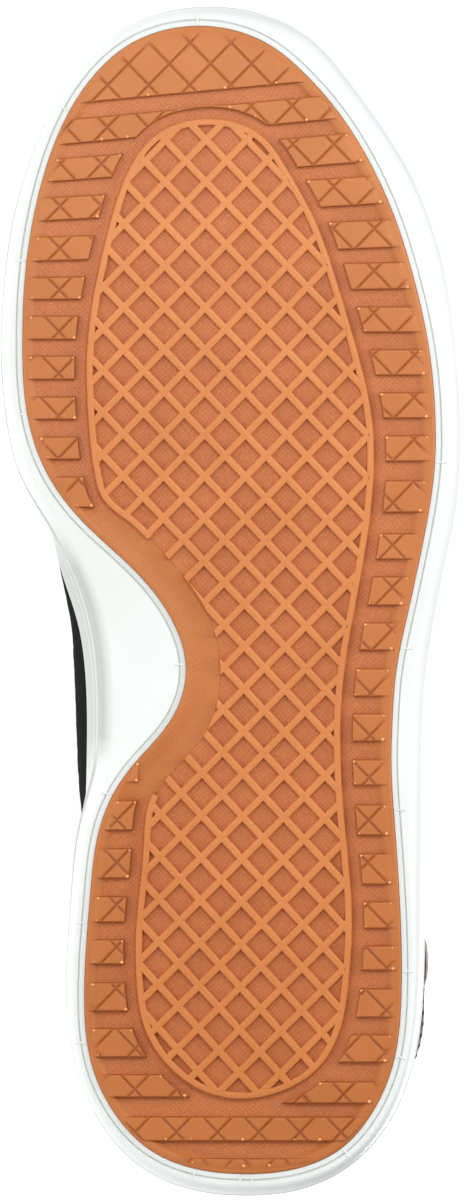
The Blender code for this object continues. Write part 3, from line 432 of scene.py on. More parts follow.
class RoundSpline:
    """Closed cubic through rows of values at rising knots."""

    def __init__(self, knots, values, period):
        self.knots = np.asarray(knots, float)
        self.values = np.asarray(values, float)
        self.period = period
        self.spans = np.diff(np.append(self.knots, self.knots[0] + period))
        before = np.roll(self.spans, 1)
        rise = (np.roll(self.values, -1, axis=0) - self.values) / self.spans[:, None]
        one = np.eye(len(self.knots))
        system = 2 * (before + self.spans)[:, None] * one
        system += before[:, None] * np.roll(one, -1, axis=1) + self.spans[:, None] * np.roll(one, 1, axis=1)
        self.bends = np.linalg.solve(system, 6 * (rise - np.roll(rise, 1, axis=0)))

    def __call__(self, at):
        at = (np.asarray(at, float) - self.knots[0]) % self.period + self.knots[0]
        i = np.searchsorted(self.knots, at, side="right") - 1
        j = (i + 1) % len(self.knots)
        span = self.spans[i][:, None]
        b = (at - self.knots[i])[:, None]
        a = span - b
        bend_a = self.bends[i] * (a ** 3 / span - a * span) / 6
        bend_b = self.bends[j] * (b ** 3 / span - b * span) / 6
        return self.values[i] * a / span + self.values[j] * b / span + bend_a + bend_b


def outline(sections, tips):
    """Dense closed outline through a table of sections and its two tips."""
    outer = [(s.along, s.outer) for s in sections]
    inner = [(s.along, s.inner) for s in reversed(sections)]
    points = np.array([tips.toe] + outer + [tips.heel] + inner)
    steps = lengths(np.vstack([points, points[:1]]))
    spline = RoundSpline(steps[:-1], points, steps[-1])
    return spline(np.linspace(0, steps[-1], OUTLINE_POINTS, endpoint=False))


def moved_out(points, distance):
    """The closed outline moved outwards by this distance, or inwards where it is negative."""
    along = unit(np.roll(points, -1, axis=0) - np.roll(points, 1, axis=0))
    return points + distance * np.column_stack([along[:, 1], -along[:, 0]])


def ray(station):
    """Start and direction of the ray at a station: 0 toe, 1 to 2 outer side, 3 heel, 4 to 5 inner side."""
    side = 1 if station <= 3 else -1
    turn = station if station <= 3 else STATIONS_ROUND - station
    toe, heel = np.array(TOE_HUB), np.array(HEEL_HUB)
    if 1 < turn < 2:
        return toe + (turn - 1) * (heel - toe), np.array([0.0, side])
    angle = (turn if turn <= 1 else turn - 1) * math.pi / 2
    return toe if turn <= 1 else heel, np.array([math.cos(angle), side * math.sin(angle)])


def crossed(station, points):
    """Where the ray of a station meets a dense outline."""
    start, way = ray(station)
    ends = np.roll(points, -1, axis=0) - points
    offset = points - start
    cross = way[0] * ends[:, 1] - way[1] * ends[:, 0]
    cross = np.where(abs(cross) < 1e-9, 1e-9, cross)
    reach = (offset[:, 0] * ends[:, 1] - offset[:, 1] * ends[:, 0]) / cross
    share = (offset[:, 0] * way[1] - offset[:, 1] * way[0]) / cross
    return start + way * reach[(share >= 0) & (share < 1) & (reach > 0)].max()


def spring(along):
    """Lift of the toe."""
    share = (np.asarray(along, float) - SPRING_START) / (SPRING_END - SPRING_START)
    return TOE_SPRING * np.maximum(share, 0.0) ** 2


def level(table, along):
    return np.interp(along, [r.along for r in table], [r.up for r in table])


def raised(points, up):
    """Plan points at heights above the tread, lifted by the toe spring."""
    return np.column_stack([points, np.zeros(len(points)) + up + spring(points[:, 0])])


def profile(ring, steps, base=0.0, inset=0.0):
    """Rings along an edge: a ring moved in by each of its steps and raised to its height above a base."""
    return [raised(moved_out(ring, -(inset + s.set_in)), base + s.height) for s in steps]


def ring_stations():
    fan = np.linspace(0, 1, FAN_STEPS, endpoint=False)
    side = 1 + np.linspace(0, 1, SIDE_STEPS, endpoint=False)
    half = np.concatenate([fan, side, 2 + fan])
    return np.concatenate([half, [3.0], STATIONS_ROUND - half[:0:-1]])


STATIONS = ring_stations()
SIDES = np.array([ray(s)[1][1] for s in STATIONS])
gum_line = outline(GUM, GUM_TIPS)
field_line = outline(FIELD, FIELD_TIPS)
lines = (gum_line, outline(WALL, WALL_TIPS), outline(RIM, RIM_TIPS))
gum_ring, wall_ring, rim_ring = (np.array([crossed(s, line) for s in STATIONS]) for line in lines)


def shoe_pose():
    """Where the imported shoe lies, from the two tread mounts of its record."""
    mounts = {m["name"]: m for m in frame["record"]["mounts"]}
    heel, fore = (np.array(mounts[name]["pos_m"]) for name in ("heel_tread", "forefoot_tread"))
    up = unit(-np.array(mounts["heel_tread"]["axis"]))
    spots = np.array(HEEL_SPOT), np.array(FORE_SPOT)
    bases = []
    for way, top in ((spots[1] - spots[0], np.array([0.0, 0.0, 1.0])), (fore - heel, up)):
        way = unit(way - top * way.dot(top))
        bases.append(np.column_stack([way, np.cross(top, way), top]))
    turn = bases[1] @ bases[0].T
    pose = Matrix(turn.tolist()).to_4x4()
    pose.translation = Vector(heel - turn @ spots[0] * MM)
    return pose


POSE = shoe_pose()


class Shape:
    """Collects grids of points as one mesh in millimetres."""

    def __init__(self):
        self.points, self.faces, self.slots, self.marks = [], [], [], []

    def grid(self, points, slot=0, wrap=False, marks=0.0):
        """Quads on rows of points, closed round each row where wrap is set."""
        points = np.asarray(points, float)
        size = points.shape[:2]
        index = len(self.marks) + np.arange(size[0] * size[1]).reshape(size)
        if wrap:
            index = np.hstack([index, index[:, :1]])
        quads = np.stack([index[:-1, :-1], index[:-1, 1:], index[1:, 1:], index[1:, :-1]], axis=-1)
        quads = quads.reshape(-1, 4).tolist()
        self.points.append(points.reshape(-1, 3))
        self.marks += (np.zeros(size) + marks).ravel().tolist()
        self.faces += quads
        self.slots += [slot] * len(quads)

    def slab(self, face, back):
        """A sheet between two grids of points, closed along its four edges."""
        self.grid(face)
        self.grid(back[:, ::-1])
        for k in (0, -1):
            self.grid(np.stack([face[k], back[k]]))
            self.grid(np.stack([face[:, k], back[:, k]]))

    def capped(self, rings, end_slot=0, marks=0.0):
        """Rings joined in a row, with strips across the first and the last of them."""
        self.grid(rings, wrap=True, marks=marks)
        self.bridge(rings[0])
        self.bridge(rings[-1], end_slot)

    def bridge(self, ring, slot=0):
        """Strips straight across the shoe that close a ring."""
        start, count = len(self.marks), len(ring)
        self.points.append(ring)
        self.marks += [0.0] * count
        for i in range(count // 2):
            corners = [i, i + 1]
            if count - i - 1 != i + 1:
                corners.append(count - i - 1)
            if i:
                corners.append(count - i)
            self.faces.append([start + c for c in corners])
            self.slots.append(slot)

    def bmesh(self, close=False):
        shape = bmesh.new()
        marks = shape.verts.layers.float.new(MARK)
        verts = [shape.verts.new(p) for p in np.vstack(self.points) * MM]
        for vert, mark in zip(verts, self.marks):
            vert[marks] = mark
        for face, slot in zip(self.faces, self.slots):
            shape.faces.new([verts[i] for i in face]).material_index = slot
        bmesh.ops.remove_doubles(shape, verts=shape.verts, dist=1e-6)
        bmesh.ops.dissolve_degenerate(shape, edges=shape.edges, dist=1e-7)
        if close:
            bmesh.ops.holes_fill(shape, edges=[e for e in shape.edges if e.is_boundary], sides=0)
        bmesh.ops.recalc_face_normals(shape, faces=shape.faces)
        return shape


def placed(name, data):
    """A new object in the scene."""
    made = bpy.data.objects.new(name, data)
    bpy.context.scene.collection.objects.link(made)
    return made


def mesh_of(shape, name):
    """A mesh from a bmesh, which is freed."""
    mesh = bpy.data.meshes.new(name)
    shape.to_mesh(mesh)
    shape.free()
    return mesh


def piece(name, shape, materials, replaces=(), close=False, sharp=40.0):
    """A finished piece of the shoe from a Shape or a bmesh in metres, laid down in its pose."""
    mesh = mesh_of(shape.bmesh(close) if isinstance(shape, Shape) else shape, name)
    mesh.transform(POSE)
    for material in materials:
        mesh.materials.append(material)
    mesh.shade_smooth()
    mesh.set_sharp_from_angle(angle=math.radians(sharp))
    made = placed(name, mesh)
    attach(made, "root")
    if replaces:
        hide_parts(*replaces)
    return made


def cut(shape, tool, operation):
    """A bmesh after a Boolean with another one."""
    objects = [placed("cut", mesh_of(part, "cut")) for part in (shape, tool)]
    step = objects[0].modifiers.new("cut", "BOOLEAN")
    step.operation = operation
    step.solver = "EXACT"
    step.object = objects[1]
    bpy.context.view_layer.update()
    graph = bpy.context.evaluated_depsgraph_get()
    mesh = bpy.data.meshes.new_from_object(objects[0].evaluated_get(graph))
    made = bmesh.new()
    made.from_mesh(mesh)
    for obj in objects:
        bpy.data.objects.remove(obj)
    bpy.data.meshes.remove(mesh)
    return made


# Materials


def grey(tone):
    return tone, tone, tone


PURE = grey(1.0)


class Surface:
    """A Principled material to which short calls add nodes."""

    def __init__(self, name, color, roughness, specular=0.5):
        self.made = bpy.data.materials.new(name)
        self.made.use_nodes = True
        self.tree = self.made.node_tree
        self.shader = self.tree.nodes["Principled BSDF"]
        self.feed(self.shader, {"Base Color": (*color, 1.0), "Roughness": roughness})
        self.feed(self.shader, {"Specular IOR Level": specular})
        self.place = self.node("TexCoord", "Object", {})
        self.normal = None

    def feed(self, node, inputs):
        """Sets inputs of a node, or links them where a socket is given."""
        for name, value in inputs.items():
            if isinstance(value, bpy.types.NodeSocket):
                self.tree.links.new(value, node.inputs[name])
            else:
                node.inputs[name].default_value = value

    def node(self, kind, output, inputs, **settings):
        """An output of a new node."""
        node = self.tree.nodes.new("ShaderNode" + kind)
        for name, value in settings.items():
            setattr(node, name, value)
        self.feed(node, inputs)
        return node.outputs[output]

    def noise(self, grain, detail=2.0, roughness=0.5):
        """Noise whose grains are about this many millimetres across."""
        inputs = {"Scale": 1 / (grain * MM), "Detail": detail, "Roughness": roughness, "Vector": self.place}
        return self.node("TexNoise", "Fac", inputs)

    def cells(self, grain):
        return self.node("TexVoronoi", "Distance", {"Scale": 1 / (grain * MM), "Vector": self.place})

    def weave(self, pitch, turn=0.0, wander=0.4):
        """Two crossing rows of waves, this many millimetres apart and turned by an angle over the tread."""
        turned = {"Rotation": (0.0, math.radians(turn), 0.0), "Vector": self.place}
        place = self.node("Mapping", "Vector", turned)
        inputs = {"Scale": WAVE_UNIT / (pitch * MM), "Distortion": wander, "Vector": place}
        waves = [self.node("TexWave", "Fac", inputs, bands_direction=way) for way in ("X", "Z")]
        return self.node("Math", "Value", dict(enumerate(waves)), operation="MULTIPLY")

    def ramp(self, source, *stops):
        color = self.node("ValToRGB", "Color", {"Fac": source})
        elements = color.node.color_ramp.elements
        while len(elements) < len(stops):
            elements.new(0.5)
        for element, (at, shade) in zip(elements, stops):
            element.position = at
            element.color = (*shade, 1.0)
        return color

    def clouds(self, grain, detail, dark, light, edges=(0.3, 0.7)):
        """Soft clouds of two shades."""
        return self.ramp(self.noise(grain, detail), *zip(edges, (dark, light)))

    def heelwards(self, shade):
        """Painted shade: white at the toe, passing to this shade at the heel, the end farther from the key
        lamp.
        """
        x = self.node("SeparateXYZ", "X", {"Vector": self.place})
        toe = POSE @ Vector((SPRING_END * MM, 0.0, 0.0))
        inputs = {"From Min": toe.x, "From Max": POSE.translation.x, "Value": x}
        return self.ramp(self.node("MapRange", "Result", inputs), (0.0, PURE), (1.0, shade))

    def painted_light(self, *shades):
        """Painted light: white, passing to these shades the higher the mesh's mark of painted shade and glow.
        """
        mark = self.node("Attribute", "Fac", {}, attribute_name=MARK)
        return self.ramp(mark, *zip(np.linspace(0, 1, len(shades) + 1), (PURE, *shades)))

    def mixed(self, first, second, mode="MULTIPLY", share=1.0):
        inputs = {"Factor": share, "A": first, "B": second}
        return self.node("Mix", "Result", inputs, data_type="RGBA", blend_type=mode)

    def color(self, source):
        self.feed(self.shader, {"Base Color": source})

    def gloss(self, grain, low, high):
        """Roughness that wanders between two values."""
        inputs = {"To Min": low, "To Max": high, "Value": self.noise(grain)}
        self.feed(self.shader, {"Roughness": self.node("MapRange", "Result", inputs)})

    def bump(self, source, height):
        """A bump of this many millimetres on top of those before it."""
        inputs = {"Distance": height * MM, "Strength": 1.0, "Height": source}
        if self.normal:
            inputs["Normal"] = self.normal
        self.normal = self.node("Bump", "Normal", inputs)
        self.feed(self.shader, {"Normal": self.normal})

    def knurl(self):
        """The fine diamonds of the tread's floor."""
        return self.weave(0.9, 38.0, 6.0)


# Painted shade towards the heel, the end farther from the key lamp
HEEL_SHADE = (0.88, 0.77, 0.6)
# Painted shade in the scored lines and down the lug walls, then a painted red glow at the walls' feet
LUG_SHADE_TONE = (0.66, 0.52, 0.38)
FOOT_GLOW_TONE = (0.9, 0.42, 0.2)
# Painted shade of the white cup
CUP_SHADE_TONE = (0.6, 0.61, 0.58)
LUG_DARK = (0.472, 0.164, 0.052)
LUG_LIGHT = (0.523, 0.19, 0.064)


def gum_smooth(name, dark, light, knurl=0.0):
    look = Surface(name, dark, 0.42, 0.22)
    tone = look.mixed(look.clouds(22.0, 3.0, dark, light), look.heelwards(HEEL_SHADE))
    # Painted shade in the scored lines and on the walls, passing to a painted red glow at the walls' feet
    look.color(look.mixed(tone, look.painted_light(LUG_SHADE_TONE, FOOT_GLOW_TONE)))
    look.gloss(6.0, 0.36, 0.5)
    look.bump(look.noise(1.4, 3.0), 0.03)
    if knurl:
        look.bump(look.knurl(), knurl)
    return look.made


def gum_knurled():
    """Gum with the fine diamond knurl of the floors of channels and pockets."""
    look = Surface("gum_knurled", (0.55, 0.19, 0.08), 0.45, 0.2)
    knurl = look.mixed(look.knurl(), look.noise(0.8, 4.0, 0.6), "MIX", 0.7)
    # Painted highlight and shade: the knurl's raised diamonds lighter, its hollows darker
    tone = look.ramp(knurl, (0.25, (0.5, 0.165, 0.06)), (0.65, (0.62, 0.23, 0.097)))
    wash = look.clouds(11.0, 3.0, (0.9, 0.88, 0.86), PURE)
    look.color(look.mixed(look.mixed(tone, look.heelwards(HEEL_SHADE)), wash))
    look.bump(knurl, 0.13)
    return look.made


def gum_flash():
    # Paler than the lug gum: a painted highlight; the low roughness is the bead's real gloss
    look = Surface("gum_flash", (0.8, 0.34, 0.1), 0.22)
    look.color(look.clouds(3.0, 2.0, (0.72, 0.28, 0.08), (0.84, 0.38, 0.12), (0.35, 0.65)))
    look.gloss(1.0, 0.18, 0.3)
    return look.made


def white_rubber():
    look = Surface("white_rubber", (0.7, 0.73, 0.71), 0.38, 0.3)
    tone = look.clouds(40.0, 2.0, (0.69, 0.72, 0.7), (0.725, 0.75, 0.735))
    # Painted shade on the cup from its mark
    look.color(look.mixed(tone, look.painted_light(CUP_SHADE_TONE)))
    look.gloss(9.0, 0.32, 0.46)
    look.bump(look.noise(2.5), 0.03)
    return look.made


def suede(name, dark, light, nap, roughness=0.92, specular=0.03):
    look = Surface(name, dark, roughness, specular)
    fibre = look.noise(nap, 4.0, 0.7)
    wash = look.clouds(14.0, 3.0, grey(0.75), PURE)
    look.color(look.mixed(look.ramp(fibre, (0.3, dark), (0.75, light)), wash))
    look.bump(fibre, 0.22)
    look.feed(look.shader, {"Sheen Weight": 0.015, "Sheen Roughness": 0.5})
    return look.made


def woven(name, dark, light, thread):
    """A plain weave of threads this many millimetres wide."""
    look = Surface(name, grey(dark), 0.88, 0.2)
    weave = look.weave(thread)
    look.color(look.ramp(weave, (0.1, grey(dark)), (0.9, grey(light))))
    look.bump(weave, 0.2)
    return look.made


def brown_leather():
    look = Surface("brown_leather", (0.09, 0.05, 0.035), 0.65, 0.12)
    look.color(look.clouds(4.0, 4.0, (0.06, 0.033, 0.023), (0.115, 0.068, 0.049)))
    look.bump(look.cells(0.9), 0.12)
    return look.made


GUM_TOP = gum_smooth("gum_lug", LUG_DARK, LUG_LIGHT)
GUM_ARCH = gum_smooth("gum_arch", LUG_DARK, LUG_LIGHT, 0.06)
# Bars and rim get a lighter copy of the lug gum, a painted highlight of their rounded edges
GUM_BAR_LIT = gum_smooth("gum_bar_lit", (0.575, 0.21, 0.07), (0.635, 0.243, 0.086))
GUM_FLOOR = gum_knurled()
GUM_BEAD = gum_flash()
WHITE = white_rubber()
BLACK = suede("black_suede", grey(0.007), (0.024, 0.024, 0.0235), 0.45)
OVERLAY = suede("black_overlay", grey(0.011), (0.026, 0.026, 0.0255), 0.9, 0.66, 0.14)
BROWN = brown_leather()
LINING = suede("lining_cloth", grey(0.014), grey(0.036), 0.7)
TONGUE = woven("tongue_cloth", 0.014, 0.055, 1.1)
LACE = woven("lace_weave", 0.02, 0.085, 0.7)
LINER = woven("sock_liner", 0.03, 0.075, 0.9)
THREAD = woven("thread", 0.05, 0.12, 0.3)


# Outsole


def side_curve(points, side):
    """The outline's edge on one side as a function from along to across."""
    points = np.roll(points, -points[:, 0].argmax(), axis=0)
    heel = points[:, 0].argmin()
    half = points[:heel + 1] if side > 0 else points[heel:]
    half = half[np.argsort(half[:, 0])]
    return lambda along: np.interp(along, half[:, 0], half[:, 1])


def end_curve(points, toe):
    """The outline's edge at the toe or the heel as a function from across to along."""
    along = points[:, 0]
    middle = (along.max() + along.min()) / 2
    kept = points[along > middle + END_REACH] if toe else points[along < middle - END_REACH]
    kept = kept[np.argsort(kept[:, 1])]
    beyond = along.min() if toe else along.max()
    return lambda across: np.interp(across, kept[:, 1], kept[:, 0], left=beyond, right=beyond)


margin_line = moved_out(gum_line, -LUG_MARGIN)
channel_line = moved_out(field_line, CHANNEL)
margin_edge = {side: side_curve(margin_line, side) for side in (1, -1)}
channel_edge = {side: side_curve(channel_line, side) for side in (1, -1)}


def spans(widths, low, high, step):
    """Places across each width, close together at its two edges, and the heights that the edges give."""
    widths = np.asarray(widths, float)
    room = low[-1].set_in + high[-1].set_in
    shrink = np.minimum(1.0, EDGE_SHARE * widths / room)[:, None]
    count = max(3, int(np.ceil((widths.max() - room) / step)) + 1)
    first = np.array([s.set_in for s in low]) * shrink
    last = widths[:, None] - np.array([s.set_in for s in reversed(high)]) * shrink
    between = np.linspace(0, 1, count)[1:-1]
    inside = first[:, -1:] + between * (last[:, :1] - first[:, -1:])
    heights = [s.height for s in low] + [0.0] * (count - 2) + [s.height for s in reversed(high)]
    return np.hstack([first, inside, last]), np.array(heights)


def scored(along, across, shifts):
    """Shares of the full depth of the fine lines of the lattice that run on over the lugs."""
    at = [s.at for s in shifts]
    middle = along.mean()
    u = (along - np.interp(middle, at, [s.along for s in shifts]) - LATTICE_X) / LATTICE_ALONG
    v = (across - np.interp(middle, at, [s.across for s in shifts]) - LATTICE_Y) / LATTICE_ACROSS
    pitch = LATTICE_ALONG * LATTICE_ACROSS / math.hypot(LATTICE_ALONG, LATTICE_ACROSS)
    off = [abs(way - np.floor(way) - 0.5) for way in (u + v, u - v)]
    return eased(np.clip(1 - np.minimum(*off) * pitch / SCORE_HALF, 0, 1))


def steep_part(heights, steps):
    """Heights of those edges of a pad that are steep, up to 1."""
    ends = np.split(np.clip(heights, 0, 1), [len(heights) // 2])
    return np.concatenate([end if step is STEEP else end * 0 for end, step in zip(ends, steps)])


def add_pad(shape, along, across, heights, steps, shifts):
    """A raised pad of the tread on a grid of plan points, from the heights and the kinds of its edges."""
    height = np.maximum(heights[0][:, None], heights[1])
    lines = np.clip(1 - height / SCORE_FADE, 0, 1) * scored(along, across, shifts)
    up = height + SCORE_DEEP * lines + spring(along)
    # Painted shade: the scored lines and the steep walls are marked, the walls most at their feet, where a
    # red glow is painted
    walls = np.maximum(steep_part(heights[0], steps[0])[:, None], steep_part(heights[1], steps[1]))
    shape.grid(np.stack([along, across, up], axis=-1), marks=np.maximum(SCORE_MARK * lines, walls))


def add_side_lug(shape, lug, side):
    """A lug between channel and border, and the places of its corners."""
    turn = math.radians(np.interp(lug.back, [LUG_TURN_NONE, LUG_TURN_TOE], [0, TOE_BAR_TURN]))
    row_places, row_heights = spans([lug.front - lug.back], STEEP, STEEP, LUG_STEP)
    along = lug.back + row_places[0]
    low, high = channel_edge[side](along), margin_edge[side](along)
    steps, shifts = (STEEP, SLOPING), OUTER_SHIFTS
    if side < 0:
        low, high = high, np.maximum(np.minimum(low, lug.end), high + LEAST_LUG)
        steps, shifts = (SLOPING, STEEP), INNER_SHIFTS
    columns, column_heights = spans(high - low, *steps, LUG_STEP)
    across = low[:, None] + columns
    along = along[:, None] + (across - (low + high)[:, None] / 2) * math.tan(turn)
    add_pad(shape, along, across, (row_heights, column_heights), ((STEEP, STEEP), steps), shifts)
    corner = len(STEEP) - 1
    return [(along[i, j], across[i, j]) for i in (corner, -corner - 1) for j in (corner, -corner - 1)]


def add_cross_bar(shape, bar, low, high, steps, shifts):
    """A pad across the shoe between two curves that give along from across, and places for beads on it."""
    across = np.linspace(bar.inner, bar.outer, BAR_SAMPLES)
    kept = across[high(across) - low(across) > LEAST_BAR]
    row_places, row_heights = spans([kept[-1] - kept[0]], SLOPING, SLOPING, LUG_STEP)
    across = kept[0] + row_places[0]
    bottom, top = low(across), high(across)
    columns, column_heights = spans(np.maximum(top - bottom, LEAST_LUG), *steps, LUG_STEP)
    along = bottom[:, None] + columns
    every = np.repeat(across[:, None], along.shape[1], axis=1)
    add_pad(shape, along, every, (row_heights, column_heights), ((SLOPING, SLOPING), steps), shifts)
    half = BAR_BEADS // 2 + 1
    return [(along[i, len(STEEP) - 1], across[i]) for i in range(half, len(across) - half, BAR_BEADS)]


def toe_line(middle):
    slope = math.tan(math.radians(TOE_BAR_TURN))
    return lambda across: middle + (across - TOE_BAR_MIDDLE) * slope


def build_lugs():
    """All lugs and cross bars, and places for beads on them."""
    shape = Shape()
    corners = []
    for side, lugs in ((1, OUTER_LUGS), (-1, INNER_LUGS)):
        for lug in lugs:
            corners += add_side_lug(shape, lug, side)
    toe_edge, heel_edge = end_curve(margin_line, True), end_curve(margin_line, False)
    toe_channel = end_curve(channel_line, True)
    first, second = TOE_BARS
    start = toe_line(first.along - first.length / 2)
    corners += add_cross_bar(shape, first, start, toe_edge, (STEEP, SLOPING), TOE_SHIFT)
    back, front = (toe_line(second.along + half * second.length) for half in (-0.5, 0.5))
    corners += add_cross_bar(
        shape, second, lambda y: np.maximum(back(y), toe_channel(y)),
        lambda y: np.minimum(front(y), toe_edge(y)), (STEEP, STEEP), TOE_SHIFT,
    )
    for bar, steps in zip(HEEL_BARS, ((STEEP, STEEP), (SLOPING, STEEP))):
        low, high = bar.along - bar.length / 2, bar.along + bar.length / 2
        corners += add_cross_bar(
            shape, bar, lambda y: np.maximum(low, heel_edge(y)), lambda y: np.full(len(y), high),
            steps, HEEL_SHIFT,
        )
    piece("outsole_lugs", shape, [GUM_TOP], close=True)
    return corners


def build_plate():
    """The gum plate: floor of the channels, smooth border and edge."""
    width = (BORDER_OUTER + BORDER_INNER) / 2 + SIDES * (BORDER_OUTER - BORDER_INNER) / 2
    shape = Shape()
    rings = profile(gum_ring, PLATE_EDGE) + profile(gum_ring, BORDER_FALL, inset=width[:, None])
    shape.capped(rings, end_slot=1)
    piece("outsole_plate", shape, [GUM_TOP, GUM_FLOOR], ["outsole"])


def build_arch_floor():
    """The plain smooth gum beside the lattice, round the cut of the arch."""
    along = np.linspace(*ARCH_FLOOR_ENDS, 90)
    low = margin_edge[-1](along)
    high = side_curve(moved_out(field_line, -RIM_WIDTH / 2), -1)(along) - ARCH_FLOOR_GAP
    share = np.linspace(0, 1, 24)
    across = low[:, None] + (high - low)[:, None] * share
    ends = np.minimum(along - along[0], along[-1] - along) / ARCH_END_RUN
    sink = np.clip(1 - ends, 0, 1)[:, None] ** 2 * ARCH_END_SINK
    edge = np.clip(1 - share / ARCH_EDGE_SHARE, 0, 1) ** 2 * ARCH_EDGE_SINK
    fall = eased(np.clip(share / ARCH_FALL_SHARE, 0, 1)) * ARCH_FALL
    up = ARCH_TOP + fall + sink + edge + spring(along)[:, None]
    face = np.stack([np.repeat(along[:, None], len(share), axis=1), across, up], axis=-1)
    under = face.copy()
    under[..., 2] = ARCH_UNDER
    shape = Shape()
    shape.slab(face, under)
    piece("outsole_arch", shape, [GUM_ARCH])


def drift(way, along, across):
    """How far the lattice strays one way at plan points."""
    u, v = (along - DRIFT_MIDDLE) / 100, across / 20
    return way.still + way.along * u + way.across * v + way.bend * u * u + way.twist * u * v


def encloses(points, x, y):
    """Whether a closed outline lies round a plan point."""
    ends = np.roll(points, -1, axis=0)
    crosses = (points[:, 1] > y) != (ends[:, 1] > y)
    rise = np.where(crosses, ends[:, 1] - points[:, 1], 1.0)
    at = points[:, 0] + (y - points[:, 1]) / rise * (ends[:, 0] - points[:, 0])
    return bool(np.sum(crosses & (at > x)) % 2)


def lattice_slab():
    """Cells of the lattice past the edge of its field, as one closed slab without the toe spring."""
    offsets = [-s.set_in for s in reversed(CELL)] + [s.set_in for s in CELL[1:]]
    heights = np.array([s.height for s in reversed(CELL)] + [s.height for s in CELL[1:]])
    floors = np.minimum(heights[:, None], heights)
    a, b = np.meshgrid(offsets, offsets, indexing="ij")
    near = moved_out(field_line, LATTICE_SPARE)
    reach = int(np.ptp(field_line[:, 0]) / LATTICE_ALONG) + 12
    shape = Shape()
    for i in range(-reach, reach):
        for j in range(-reach, reach):
            along = LATTICE_X + LATTICE_ALONG * (i + j) / 2
            across = LATTICE_Y + LATTICE_ACROSS * (i - j) / 2
            if not encloses(near, along, across):
                continue
            x = along + LATTICE_ALONG * (a + b) / 2
            y = across + LATTICE_ACROSS * (a - b) / 2
            x, y = x + drift(DRIFT_ALONG, x, y), y + drift(DRIFT_ACROSS, x, y)
            shape.grid(np.stack([x, y, floors], axis=-1))
    slab = shape.bmesh()
    skirt = bmesh.ops.extrude_edge_only(slab, edges=[e for e in slab.edges if e.is_boundary])["geom"]
    for vert in skirt:
        if isinstance(vert, bmesh.types.BMVert):
            vert.co.z = LATTICE_UNDER * MM
    bmesh.ops.holes_fill(slab, edges=[e for e in slab.edges if e.is_boundary], sides=0)
    bmesh.ops.recalc_face_normals(slab, faces=slab.faces)
    return slab


def build_lattice():
    """The lattice and its pockets, cut to its field."""
    prism = Shape()
    ring = moved_out(field_line[::2], -RIM_WIDTH / 2)
    prism.grid([np.column_stack([ring, np.full(len(ring), up)]) for up in FIELD_CUT], wrap=True)
    made = cut(lattice_slab(), prism.bmesh(close=True), "INTERSECT")
    for face in made.faces:
        low = face.calc_center_median().z / MM
        face.material_index = int(low > POCKET_FROM and abs(face.normal.z) > POCKET_LEVEL)
    for vert in made.verts:
        vert.co.z += float(spring(vert.co.x / MM)) * MM
    piece("outsole_lattice", made, [GUM_BAR_LIT, GUM_FLOOR])


def build_rim():
    """The raised rim round the lattice, open along the arch."""
    along, across = field_line.T
    inner = across < np.interp(along, *zip(HEEL_HUB, TOE_HUB))
    arch = inner & (along > OPEN_ARCH_BACK) & (along < OPEN_ARCH_FRONT)
    order = np.roll(np.arange(len(along)), -int(np.flatnonzero(arch)[-1]) - 1)
    path = [i for i in order if not arch[i]]
    shape = Shape()
    shape.grid(np.array(profile(field_line, RIM_PROFILE))[:, path])
    piece("outsole_rim", shape, [GUM_BAR_LIT], close=True)


def build_beads(corners):
    """Small shiny beads of flash that the mould leaves on corners of the lugs and on the cross bars."""
    shape = bmesh.new()
    for k, (along, across) in enumerate(corners):
        if k % BEAD_ROUND in BEADLESS:
            continue
        place = Vector((along, across, float(spring(along)) - BEAD_SINK)) * MM
        bmesh.ops.create_icosphere(
            shape, subdivisions=2, radius=BEAD_SIZES[k % len(BEAD_SIZES)] * MM,
            matrix=Matrix.Translation(place) @ Matrix.Diagonal((1, 1, BEAD_FLATTENED, 1)),
        )
    piece("flash_beads", shape, [GUM_BEAD])


# Cup sole


